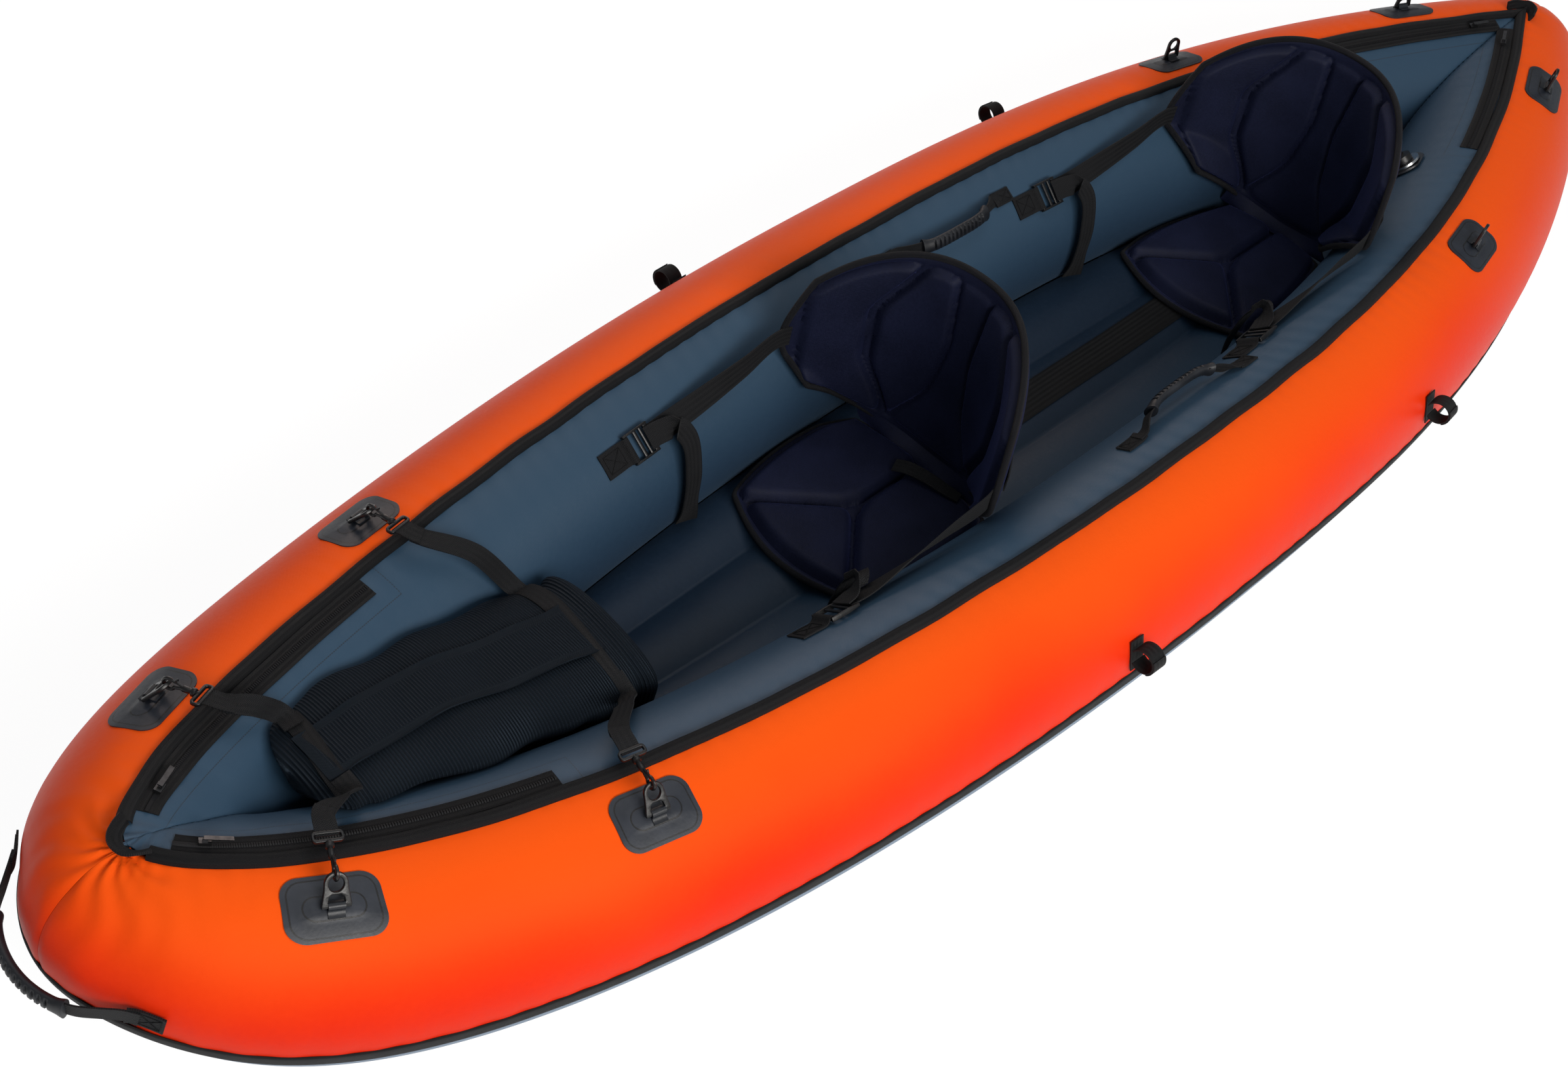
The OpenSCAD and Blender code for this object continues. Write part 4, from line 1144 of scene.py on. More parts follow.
def seat_base(label, x0):
    """Moulded base: three raised panels parted by channels that meet in its middle."""
    rear = x0 + BASE_REAR
    mid = (rear + BASE_L * 0.50, 0.0)
    arms = [(rear - 0.02, 0.0)] + [(rear + BASE_L * 0.93, e * BASE_W * 0.36) for e in (1, -1)]

    def surface(way, u, v, ring):
        x, y = base_xy(x0, u, v)
        ring = ring * BASE_DEEP
        if way < 0:
            return xyz(x, y, BASE_LOW + BASE_RIM * (1 - swell(ring / 0.012)))
        cut = soft_min([seg(x, y, mid, arm) for arm in arms], 0.006)
        panel = soft_min([ring - 0.012, cut - 0.0030], 0.005)
        level = 0.0065 + 0.004 * swell(ring / 0.006)
        level = level + 0.0155 * swell(panel / 0.014) + 0.0055 * swell(panel / 0.06)
        level = level - 0.003 * dip(panel - 0.001, 0.004)
        return xyz(x, y, BASE_LOW + np.where(ring < 1e-6, BASE_RIM, level))

    pad(f"{label}_base_pad", (120, 120), BASE_CORNER, surface, "hull", f"{label}_seat_base")
    x, y = base_xy(x0, *pad_rim(60, BASE_CORNER))
    bead = tube(f"{label}_base_binding", xyz(x, y, BASE_LOW + 0.0062), 0.0046, 12, True, 260)
    done(bead, SEAT_EDGE)


def back_point(x0, u, v, depth):
    """A point of a seat back: across, up, and off its middle surface to the front."""
    a = np.abs(u)
    x = x0 + WING_REACH * a**2.2
    n = unit(xyz(1.0, -np.sign(u) * WING_REACH * 2.2 * a**1.2 / BACK_W, 0.0))
    h = mix(mix(0.0004, WING_LOW, a**1.8), mix(BACK_H, WING_HIGH, a**4.2), v)
    free = a * BACK_W
    room = inner_y(x, HINGE_Z + h) - WING_ROOM
    y = np.sign(u) * ((free + room) / 2 - np.sqrt(((free - room) / 2) ** 2 + 1e-5 * a))
    return xyz(x + n[:, 0] * depth, y + n[:, 1] * depth, HINGE_Z + h)


def back_panels(u, v):
    """Depth of the moulded panels: a petal and a wing on each side of a plain middle."""
    a = np.abs(u)
    inner = bend(v, [0.10, 0.32, 0.60, 0.96], [0.40, 0.19, 0.11, 0.16])
    outer = bend(v, [0.10, 0.34, 0.68, 0.96], [0.44, 0.62, 0.63, 0.38])
    high = mix(BACK_H, WING_HIGH - WING_LOW, a**3)
    rim = np.minimum((1 - a) * BACK_W * 1.35, np.minimum(v, 1 - v) * high)
    petal = soft_min([(a - inner) * BACK_W, (outer - a) * BACK_W - 0.005, rim - 0.020], 0.004)
    wing = soft_min([(a - outer) * BACK_W - 0.005, rim - 0.018], 0.004)
    middle = soft_min([(inner - a) * BACK_W - 0.005, rim - 0.022], 0.004)
    best = np.maximum(petal, wing)
    lift = 0.0100 * swell(best / 0.009) + 0.0034 * swell(best / 0.04) + 0.0050 * swell(middle / 0.012)
    return lift - 0.0026 * dip(best - 0.0005, 0.0035)


def seat_back(label, x0):
    body = f"{label}_back"

    def surface(way, u, v, ring):
        ring = ring * BACK_DEEP
        fat = swell(ring / 0.012)
        if way < 0:
            return back_point(x0, u, v, -0.0062 * fat - 0.0035 * swell(ring / 0.10))
        return back_point(x0, u, v, 0.0035 * fat + back_panels(u, v) * fat)

    pad(f"{body}_pad", (150, 130), BACK_CORNER, surface, body, f"{label}_seat_back")
    rim = back_point(x0, *pad_rim(70, BACK_CORNER), 0.0)
    done(tube(f"{body}_binding", rim, 0.0050, 12, True, 320), SEAT_EDGE, body)
    u = np.linspace(-0.93, 0.93, 41)
    bands = []
    for v, share, width in BACK_BANDS:
        line = back_point(x0, u * share, v, -0.0108)
        bands.append(ribbon("band", line, [[0, 0, 1]] * 41, width, 0.0018, 0.006))
    done(join(f"{body}_bands", bands), WEBBING, body)


def seat_hinge(label, x0):
    """Cloth sewn from the base's rear edge to the foot of the back."""

    def shape(a, b):
        u = (2 * a - 1) * 0.60
        top = back_point(x0, u, 0.035, 0.0045)
        foot = xyz(x0 + BASE_REAR + 0.016, u * 0.195, BASE_LOW + 0.016)
        sag = (4 * b * (1 - b))[:, None] * [0.002, 0, -0.004]
        return foot + (top - foot) * b[:, None] + sag

    away = np.array([0.05, 0, 0.05])
    o = cloth(f"{label}_hinge_cloth", 60, 10, shape, (0.25, 0.04), lambda p: p - away, thick=0.0016)
    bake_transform(o)
    done(o, SEAT, ride=False)


def loose_end(x0):
    """The strap's loose end on the front base."""
    line = [(0.048, 0.092, -0.004), (0.056, 0.066, 0.001), (0.064, 0.036, 0.006)]
    line += [(0.074, 0.004, 0.006), (0.080, -0.012, 0.001)]
    ways = [[1, 0.3, 0.3], [1, 0.4, 0.1], [1, 0.45, 0], [1, 0.45, -0.05], [1, 0.45, -0.05]]
    line = np.array(line) + [x0, 0, BASE_LOW + 0.036]
    done(ribbon("front_loose_end", line, ways, 0.025, 0.0018, 0.004), WEBBING)


# Seat straps, tabs and buckles

BUCKLE_REACH = 0.478
BUCKLE_DEG = 131
BUCKLE_L = 0.040
WEB_W = 0.038
BAR_R = 0.0025
TAB_T = 0.0024
BAR_OFF = FLAT_LAY + TAB_T + BAR_R + 0.001
# Webbing: width, thickness, step along it and, for a tail, curl
STRAP_WEB = (0.036, 0.0018, 0.006)
TAIL_WEB = (0.034, 0.0018, 0.005, 0.0008)
BUCKLE_TAB_WEB = (WEB_W, 0.0020, 0.0025)
BAG_WEB = (0.026, 0.0018, 0.004)
HANDLE_TAB_WEB = (0.025, 0.0026, 0.003)
LEG_WEB = (0.021, 0.0022, 0.004)
THREAD_R = 0.00045
# Stitch boxes: where they start, and for each where it ends, its half width and its lift
STITCH_NEAR = 0.014
TAB_BOX = (0.046, 0.013, 0.0026)
HANDLE_TAB_BOX = (0.040, 0.009, 0.0030)


def by_bar(x, *p):
    return place(x, BUCKLE_DEG, BAR_OFF, p)


def seat_strap(label, x0, name, side):
    xb = x0 + BUCKLE_REACH
    flip = mirror(side)
    edge = back_point(x0, np.ones(1), 0.5, 0.0)[0]
    along, inboard, _ = axes_on(xb, BUCKLE_DEG)
    down = np.array([0, 0, -1.0])
    wing = edge + [0.004, -0.004, 0]
    near = by_bar(xb, -BUCKLE_L - 0.028, 0, 0.004)
    sag = np.array([0, 0, -0.003])
    run = [edge + [-0.020, -0.012, 0], wing, mix(wing, near, 0.33) + sag, mix(wing, near, 0.67) + sag]
    run += [near, by_bar(xb, -BUCKLE_L + 0.006, 0, 0.0035)]
    ways = [down, down, mix(down, inboard, 0.25), mix(down, inboard, 0.6), inboard, inboard]
    o = ribbon(f"{label}_{name}_strap_run", run, ways, *STRAP_WEB, side=side)
    tuple(near * flip)
    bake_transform(o)
    done(o, WEBBING, stands_for=[f"{label}_{name}_strap"], ride=False)
    hang = xb - BUCKLE_L - 0.018
    tail = [by_bar(xb, -BUCKLE_L + 0.010, 0, 0.0060)]
    if side < 0:
        twist, flick = 1.1, 0.5
        tail += [
            by_bar(xb, -BUCKLE_L - 0.010, 0.001, 0.0085),
            by_bar(hang, -0.018, 0.008, 0.017),
            by_bar(hang, -0.028, 0.030, 0.015),
            skin(hang - 0.024, 160, 0.018),
            skin(hang - 0.020, 180, 0.013),
            skin(hang - 0.030, 198, 0.012),
        ]
    else:
        twist, flick = 0.9, 0.4
        tail += [
            by_bar(xb, -BUCKLE_L - 0.008, 0.002, 0.0095),
            by_bar(xb, -BUCKLE_L - 0.028, 0.010, 0.020),
            by_bar(hang, -0.034, 0.034, 0.020),
            skin(hang - 0.034, 166, 0.016),
            skin(hang - 0.026, 186, 0.012),
        ]
    turn = [inboard, inboard, unit(inboard - along * twist)]
    turn += [-along] * (len(tail) - 4) + [unit(-along + inboard * flick)]
    o = ribbon(f"{label}_{name}_strap_tail", tail, turn, *TAIL_WEB, side=side)
    done(o, WEBBING)


def sewn_tab(x, deg, off, side, way, line, web, far, half, lift):
    """Folded webbing sewn flat on a tube, with a crossed box of stitches."""
    parts = [ribbon("tab", line, [axes_on(x, deg)[1]] * len(line), *web, side=side)]
    box = [(STITCH_NEAR, -half), (far, -half), (far, half), (STITCH_NEAR, half)]
    for row in (box + [(STITCH_NEAR, -half), (far, half)], [(STITCH_NEAR, half), (far, -half)]):
        path = np.array([place(x, deg, off, [way * a, b, lift]) for a, b in row]) * mirror(side)
        parts.append(tube("thread", path, THREAD_R, 6))
    return join("tab", parts)


def strap_tab(x0, side):
    """A seat strap's sewn tab, with its loop round the buckle's bar."""
    xb = x0 + BUCKLE_REACH
    flat = ((0.052, 0.0010), (0.030, 0.0012), (0.010, 0.0022))
    line = [place(xb, BUCKLE_DEG, FLAT_LAY, [d, 0, h]) for d, h in flat]
    line += [by_bar(xb, d, 0, h) for d, h in ((0.002, 0.0036), (-0.0038, 0.0002), (0.001, -0.0036))]
    return sewn_tab(xb, BUCKLE_DEG, FLAT_LAY, side, 1, line, BUCKLE_TAB_WEB, *TAB_BOX)


def buckle(label, x0, name, side):
    """Ladder-lock buckle: two side rails, a pivot bar, a slotted bridge and a lip."""
    half_w = (WEB_W + 0.008) / 2
    rail = [(-0.0045, -0.0030), (0.0045, -0.0036), (BUCKLE_L * 0.6, -0.0030), (BUCKLE_L + 0.003, -0.0006)]
    rail += [(BUCKLE_L + 0.003, 0.0032), (BUCKLE_L * 0.6, 0.0046), (0.0045, 0.0036), (-0.0045, 0.0030)]
    parts = []
    for e in (-1, 1):
        at = Matrix.Translation((0, e * (half_w - 0.0016), 0))
        parts.append(plate("rail", [rail], 0.0017, 0.0008, at @ STAND_UP))
    bars = [(0, 0, 0.0024, 0.0024), (BUCKLE_L * 0.45, 0.0006, 0.0034, 0.0020)]
    for d, h, rx, rz in bars + [(BUCKLE_L * 0.70, 0.0016, 0.0026, 0.0022)]:
        end = half_w - 0.002
        bar = tube("bar", xyz(d, np.array([-end, 0, end]), h), 1.0, 12)
        co = points_of(bar)
        parts.append(move_points(bar, (co - [d, 0, h]) * [rx, 1, rz] + [d, 0, h]))
    at = Matrix.Translation((BUCKLE_L - 0.001, 0, 0.0014))
    parts.append(plate("lip", [rounded(0.008, 2 * half_w - 0.003, 0.002)], 0.0021, 0.0010, at))
    o = join(f"{label}_{name}_ladder_lock", parts)
    m = stand_on(x0 + BUCKLE_REACH, BUCKLE_DEG, BAR_OFF, side)
    tidy(set_down(o, m @ Matrix.Diagonal((-side, 1, 1, 1))), 1e-7)
    done(shade(o, 35), PLASTIC, f"lock_{label}_{name}", [f"{label}_{name}_buckle"])


# Tie rings, patches, hooks

RING_X = (1.356, 0.992, -0.786, -1.287)
PATCH_DEG = 70
PATCH_L = 0.105
PATCH_W = 0.072
PATCH_CORNER = 0.021
LOOP_OFF = 0.0030
LOOP_WEB = (0.019, 0.0014, 0.0016)
BAR_RISE = 0.0047
PIVOT = LOOP_OFF + BAR_RISE
RING_BAR_HALF = 0.0160
RING_BAR_R = 0.0024
EYE_RISE = 0.024
EYE_TOP = 0.035
EYE_R = 0.0085
RING_R = 0.0135
LEAN = (60, 60, 15, 15)
HOOK_TURN = 45
# A patch's rings of points: its under side, its edge, its upper side
UNDER_TO, EDGE_TO = 0.35, 0.5


def patch(i, side):
    """Round-cornered sheet lying on the tube, with a soft raised oval under its ring."""
    x0 = RING_X[i]
    ny = float(stations(x0)[3])
    rim = np.array(rounded(PATCH_L, PATCH_W, PATCH_CORNER, 10))
    n = len(rim)

    def flat(u, v):
        k = np.rint(u * n).astype(int) % n
        grow = np.where(v < UNDER_TO, v / UNDER_TO, np.where(v < EDGE_TO, 1, (1 - v) / (1 - EDGE_TO)))
        return rim[k] * grow[:, None]

    def shape(u, v):
        up = np.where(v < UNDER_TO, 0, np.where(v < EDGE_TO, ease((v - UNDER_TO) / (EDGE_TO - UNDER_TO)), 1))
        q = flat(u, v)
        oval = np.hypot(np.maximum(0, np.abs(q[:, 0]) - 0.020), q[:, 1])
        lift = LAY * 0.4 + 0.0018 * up + 0.0012 * up * ease((0.015 - oval) / 0.006)
        row = stations(x0 + q[:, 0] * ny)
        return on_tube(row, PATCH_DEG - np.degrees(q[:, 1] / row[:, 5]), lift, side)

    o = grid("patch", n, 20, shape)
    layer, uv = map_of(o)
    layer.foreach_set("uv", flat(*uv.T).ravel())
    return shade(tidy(o, 1e-6), 50)


def flat_strap(name, line, *web):
    """Webbing along a line in the plane across X."""
    return ribbon(name, across_x(line), [[1, 0, 0]] * len(line), *web)


def bar_loop(i, side):
    """Sheet band folded over the ring's bar."""
    line = [(0.0125, 0.0006), (0.0080, 0.0008)] + arc(0.0040, BAR_RISE, -20, 200, 15)
    o = flat_strap("band", line + [(-0.0080, 0.0008), (-0.0125, 0.0006)], *LOOP_WEB)
    return set_down(o, stand_on(RING_X[i], PATCH_DEG, LOOP_OFF, side))


def ring_frame(i, side):
    return stand_on(RING_X[i], PATCH_DEG, PIVOT, side, LEAN[i])


def tie_ring(name, i, side):
    """Moulded ring: a bar, a window over it and a round eye."""
    right = [(0.0165, -0.0012), (0.0168, 0.0020), (0.0152, 0.0100), (0.0140, 0.0180)]
    left = [(-x, y) for x, y in reversed(right)]
    window = [(-0.0098, 0.0042), (0.0098, 0.0042), (0.0080, 0.0104), (0.0050, 0.0128)]
    window += [(-0.0050, 0.0128), (-0.0080, 0.0104)]
    outer = right + arc(RING_R, EYE_RISE, 0, 180, 19) + left
    hoop = plate("hoop", [outer, arc(EYE_R, EYE_RISE, 0, 360, 29)[:-1], window], 0.0025, 0.0012, STAND_UP)
    bar = tube("bar", xyz(np.array([-RING_BAR_HALF, 0, RING_BAR_HALF]), 0.0, 0.0), RING_BAR_R, 12)
    o = set_down(join(f"tie_ring_{name}_{i + 1}_moulding", [hoop, bar]), ring_frame(i, side))
    done(shade(o, 35), PLASTIC, f"tie_ring_{name}_{i + 1}", [f"ring_{name}_{i + 1}"])


def snap_hook(name, i, side):
    """Swivel snap hook: open jaw with a sprung gate, collar, and a webbing frame."""
    jaw = [(0, 0.0300), (0.0002, 0.0220), (-0.0016, 0.0140)] + arc(0.0076, 0.0012, 115, 395, 22)
    gate = [(0.0062, 0.0058), (0.0050, 0.0120), (0.0026, 0.0200)]
    thumb = [(0.0058, 0.0105), (0.0092, 0.0120), (0.0100, 0.0140)]
    wires = (("jaw", jaw, 0.0023, 12, 60), ("gate", gate, 0.0016, 10, 14), ("thumb", thumb, 0.0014, 8, 10))
    parts = [tube(part, across_x(line), r, sides, False, n) for part, line, r, sides, n in wires]
    body = [(0, 0.018), (0.0030, 0.018), (0.0040, 0.021), (0.0040, 0.028), (0.0032, 0.0300)]
    body += [(0.0032, 0.0315), (0.0052, 0.0320), (0.0056, 0.0335), (0.0056, 0.0360), (0.0050, 0.0372)]
    parts.append(lathe("swivel", body + [(0.0030, 0.0380), (0.0030, 0.0405), (0, 0.0405)]))
    window = [rounded(0.036, 0.014, 0.005), rounded(0.0295, 0.0062, 0.0022)]
    parts.append(plate("bow", window, 0.0024, 0.0011, Matrix.Translation((0, 0, 0.0450)) @ STAND_UP))
    m = ring_frame(i, side) @ Matrix.Translation((0, 0, EYE_TOP))
    o = join(f"snap_hook_{name}_{i + 1}_moulding", parts)
    set_down(o, m @ Matrix.Rotation(math.radians(HOOK_TURN), 4, "X"))
    done(shade(o, 35), PLASTIC, f"snap_hook_{name}_{i + 1}", [f"hook_{name}_{i + 1}"])


def fittings():
    spots = [(i, side) for i in range(4) for _, side in SIDES]
    done(join("patches", [patch(*s) for s in spots]), PATCH, stands_for=["ring_patches"])
    done(join("bar_loops", [bar_loop(*s) for s in spots]), LOOP, stands_for=["ring_loops"])
    for name, side in SIDES:
        for i in range(4):
            tie_ring(name, i, side)
        for i in range(2):
            snap_hook(name, i, side)


# Bow bag

BAG_AFT = 0.797
BAG_FORE = 1.312
BAG_RING = 96
BAG_STEPS = 130
BAG_CROWN = 0.62
# Webbing sewn across the bag: its place, half length and width
BAG_BANDS = (("aft", 0.880, 0.104, 0.028), ("fore", 1.272, 0.066, 0.026))
HOOK_L = 0.038 + 0.014


def bag_share(x):
    return np.clip((x - BAG_AFT) / (BAG_FORE - BAG_AFT), 0, 1)


def bag_span(x):
    """Lowest and highest of the bag at a place along it."""
    t = bag_share(x)
    fore_top = float(2 * TUBE_R + rise_at(BAG_FORE))
    low = mix(FLOOR_H + float(rise_at(BAG_AFT)) + LINER_TOP + 0.0008, fore_top - 0.062, t**0.9)
    return low, mix(0.250, fore_top + 0.002, t) + 0.014 * np.sin(math.pi * t)


def bag_edge(x, k):
    """Half width and height of the bag's side, k from its bottom to its top."""
    low, top = bag_span(x)
    z = mix(low, top, k)
    room = inner_y(x, z) - 0.0055 - 0.009 * (np.abs(x) / HALF_BOW) ** 6
    half = np.minimum(mix(0.128, 0.098, bag_share(x)), room)
    crown = np.where(k < BAG_CROWN, 1, np.sqrt(np.maximum(0, 1 - ((k - BAG_CROWN) / 0.385) ** 2)))
    return half * crown, z


def bag_ring(x):
    """Evenly spaced points round the bag at a place, corners softened."""
    y, z = bag_edge(np.full(24, x), np.linspace(0, 1, 24))
    loop = np.concatenate([np.stack([y, z], 1), np.stack([-y[::-1], z[::-1]], 1)])
    loop = np.concatenate([loop, loop[:1]])
    s = run_length(loop)
    want = np.linspace(0, s[-1], BAG_RING, endpoint=False)
    q = np.stack([np.interp(want, s, loop[:, c]) for c in range(2)], 1)
    for _ in range(10):
        q = 0.5 * q + 0.25 * (np.roll(q, 1, 0) + np.roll(q, -1, 0))
    return q


def bag():
    shares = np.clip(np.linspace(0, 1, BAG_STEPS + 1), 0.01, 0.99)
    rings = np.array([bag_ring(mix(BAG_AFT, BAG_FORE, share)) for share in shares])

    def shape(u, v):
        i = np.rint(u * BAG_STEPS).astype(int)
        q = rings[i, np.rint(v * BAG_RING).astype(int) % BAG_RING]
        mid = rings.mean(1)[i]
        close = swell(np.minimum(u, 1 - u) / 0.07)
        x = mix(BAG_AFT, BAG_FORE, u)
        low, top = bag_span(x)
        up = np.clip((q[:, 1] - low) / (top - low), 0, 1)
        fold = 0.0045 * ripple(x * 1.6, q[:, 0] * 1.2 + q[:, 1], 83, low=14, high=42) * ease(up * 1.6)
        fold = fold - 0.010 * ease((up - 0.6) / 0.4) * dip(u - 0.45, 0.30) * dip(q[:, 0], 0.055)
        fold = fold - 0.005 * dip(u - 0.10, 0.02) - 0.004 * dip(u - 0.90, 0.018)
        fold = fold - 0.012 * dip(u - 0.36 + 0.10 * up, 0.035) * dip(up - 0.45, 0.22) * (q[:, 0] > 0)
        fold = fold - 0.010 * dip(u - 0.84, 0.04) * dip(q[:, 0] + 0.01, 0.03) * ease(up)
        r = mid + (q - mid) * (close * (1 + fold / 0.08))[:, None]
        return xyz(x, r[:, 0], np.maximum(r[:, 1], low + LAY))

    o = tidy(grid("bow_bag_shell", BAG_STEPS, BAG_RING, shape, (BAG_FORE - BAG_AFT, 0.64)), 2e-5)
    return done(shade(o, 70), MESH, stands_for=["bag_body"])


def bag_top(o, xs, ys):
    """Heights of the bag's top under given points."""
    start()
    bpy.context.view_layer.update()
    heights = []
    for x, y in zip(xs, ys):
        hit, spot, _, _ = o.ray_cast(Vector((x, y, 1.0)), Vector((0, 0, -1)))
        heights.append(spot.z if hit else np.nan)
    return np.array(heights)


def bag_flap(shell):
    def shape(u, v):
        x = BAG_AFT + 0.068 + FLAP_LONG * u
        w = 2 * v - 1
        y = w * FLAP_HALF * mix(1.0, 0.86, u) + 0.006 * np.sin(2.2 * math.pi * u + 0.6)
        lip = 0.0016 * dip(1 - np.abs(w), 0.06) * (1 + ripple(x, y, 93, low=40, high=110))
        return xyz(x, y, bag_top(shell, x, y) + 0.0020 + lip + 0.0007 * ripple(x, y, 91, low=30, high=80))

    o = cloth("bow_bag_flap", 160, 36, shape, (FLAP_LONG, 2 * FLAP_HALF), ground, thick=0.0018, offset=1)
    done(o, FLAP, stands_for=["bag_flap"])


def bag_bands(shell):
    """Webbing sewn across the bag's top between its straps."""
    parts = []
    for _, x, half, width in BAG_BANDS:
        y = np.linspace(-half, half, 41)
        line = xyz(x + 0.006 * np.sin(y * 22), y, bag_top(shell, np.full(41, x), y) + 0.0026)
        parts.append(ribbon("band", line, [[1, 0, 0]] * 41, width, 0.0018, 0.004))
    done(join("bow_bag_bands", parts), WEBBING)


def hook_end(i, out):
    """A point of the port side past a snap hook's webbing frame."""
    p = leaned(LEAN[i]) * EYE_TOP + leaned(LEAN[i] + HOOK_TURN) * (HOOK_L + out)
    return place(RING_X[i], PATCH_DEG, PIVOT, p)


def bag_straps(shell):
    """Each strap in two: from the bag to beside the ring, and its end in the hook's frame."""
    ahead = np.array([1.0, 0, 0])
    for i, (label, x, wide, _) in enumerate(reversed(BAG_BANDS)):
        top, brim = bag_top(shell, [x, x], [wide - 0.012, wide])
        end = np.array([x, wide, brim + 0.0044])
        sewn = np.array([x, wide - 0.022, top + 0.0052])
        way = axes_on(RING_X[i], PATCH_DEG)[0]
        part = hook_end(i, 0.020)
        for name, side in SIDES:
            flip = mirror(side)
            lift = 0.026 if (side < 0 and i == 1) else 0.008
            mid = mix(part, end, 0.55) + [0.0, 0.0, lift]
            points = [hook_end(i, -0.006), hook_end(i, 0.0), part, mid, end, sewn]
            ways = [way, way, way, mix(way, ahead, 0.5), ahead, ahead]
            line, _ = through(np.concatenate([points, ways], 1) * np.tile(flip, 2), 90)
            path, turn = line[:, :3], line[:, 3:]
            s = run_length(path)
            n = np.cross(np.gradient(path, axis=0), turn)
            over = path + unit(n * np.sign(n[:, 2:])) * (0.0021 * ease((s - 0.004) / 0.010))[:, None]
            run, tip = s > 0.024, s < 0.038
            strap = f"bag_{label}_{name}_strap"
            o = ribbon(strap, path[run], turn[run], *BAG_WEB)
            o_end = ribbon(f"{strap}_end", over[tip], turn[tip], *BAG_WEB)
            tuple(part * flip)
            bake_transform(o)
            tuple(part * flip)
            tuple(hook_end(i, 0.002) * flip)
            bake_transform(o_end)
            done(o, WEBBING, ride=False)
            done(o_end, WEBBING, ride=False)
            if side > 0:
                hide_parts(f"bag_{label}_straps")


# Handles

GRIP_L = 0.150
GRIP_OFF = 0.028
GRIP_STEPS = 160
GRIP_SLOTS = 12
HANDLE_L = 0.236
HANDLE_X = -0.109
HANDLE_DEG = 120
HANDLE_LEAN = 40
PIN_OFF = FLAT_LAY + 0.005
TIP_DEG = 8
TIP_LAY = 0.0004
# Each end's name, its tabs' place, its tip's middle and radius, and the way it points
ENDS = (
    ("bow", HALF_BOW * math.cos(math.radians(9)) ** (2 / BOW_FULL), HALF_BOW, NOSE_R, 1),
    ("stern", -HALF_STERN * math.cos(math.radians(11)) ** (2 / STERN_FULL), -HALF_STERN, TAIL_R, -1),
)


def grip(name, path, outs):
    """Moulded rubber sleeve: flared ends and a row of finger slots on its outer face."""
    mid, length = through(np.concatenate([path, outs], 1), GRIP_STEPS + 1)
    p = mid[:, :3]
    t = unit(np.gradient(p, axis=0))
    out = square_to(mid[:, 3:], t)
    across = np.cross(t, out)

    def shape(u, v):
        k = np.rint(v * GRIP_STEPS).astype(int)
        a = 2 * math.pi * u
        end = np.minimum(v, 1 - v)
        flare = 0.0016 * dip(end, 0.05)
        curve = v + 0.016 * np.sin(a) ** 2
        slot = (end > 0.12) * (np.sin((curve - 0.14) * math.pi * 2 * GRIP_SLOTS / 0.72) > 0.0)
        slot = slot * ease((np.cos(a) + 0.25) / 0.5) * ease((1.05 - np.abs(np.sin(a))) / 0.3)
        close = end > 1e-6
        high = (0.0072 + flare - 0.0036 * slot) * np.cos(a) * close
        wide = (0.0108 + 2.2 * flare) * np.sin(a) * close
        return p[k] + out[k] * high[:, None] + across[k] * wide[:, None]

    return shade(tidy(grid(name, 40, GRIP_STEPS, shape, (0.06, length)), 1e-6), 45)


def handle_tab(x, deg, side, way, off):
    flat = ((0.044, 0.0012), (0.026, 0.0013), (0.010, 0.0024), (0.001, 0.0050))
    line = [place(x, deg, off, [way * d, 0, h]) for d, h in flat]
    return sewn_tab(x, deg, off, side, way, line, HANDLE_TAB_WEB, *HANDLE_TAB_BOX)


def handle_leg(name, line, ways, side):
    """Webbing from a grip to its tab."""
    o = ribbon(name, line, ways, *LEG_WEB, side=side)
    tuple(line[3] * mirror(side))
    tuple(line[1] * mirror(side))
    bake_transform(o)
    done(o, WEBBING, ride=False)


def side_handle(name, side):
    along, inboard, out = axes_on(HANDLE_X, HANDLE_DEG)
    up = leaned(HANDLE_LEAN)
    face = inboard * up[1] + out * up[2]
    wide = np.cross(face, along)
    half, far = GRIP_L / 2, HANDLE_L / 2

    def spot(d, h):
        return place(HANDLE_X, HANDLE_DEG, PIN_OFF, np.array([d, 0, 0]) + up * h)

    line = np.array([spot(d, GRIP_OFF - 0.010 * (d / half) ** 4) for d in np.linspace(-half, half, 9)])
    o = grip(f"{name}_grip_sleeve", line * mirror(side), np.tile(face * mirror(side), (9, 1)))
    done(o, GRIP, f"{name}_grip", [f"{name}_handle"])
    run = ((half - 0.012, 0.0188), (half + 0.006, 0.0172), (half + 0.026, 0.0060), (far - 0.004, 0.0002))
    ways = [wide, wide, wide, mix(wide, -inboard, 0.6), -inboard]
    for end, e in (("aft", -1), ("fore", 1)):
        line = [spot(e * d, h) for d, h in run]
        line.append(place(HANDLE_X + e * far, HANDLE_DEG, FLAT_LAY, [e * 0.012, 0, 0.0042]))
        handle_leg(f"{name}_handle_leg_{end}", line, ways, side)


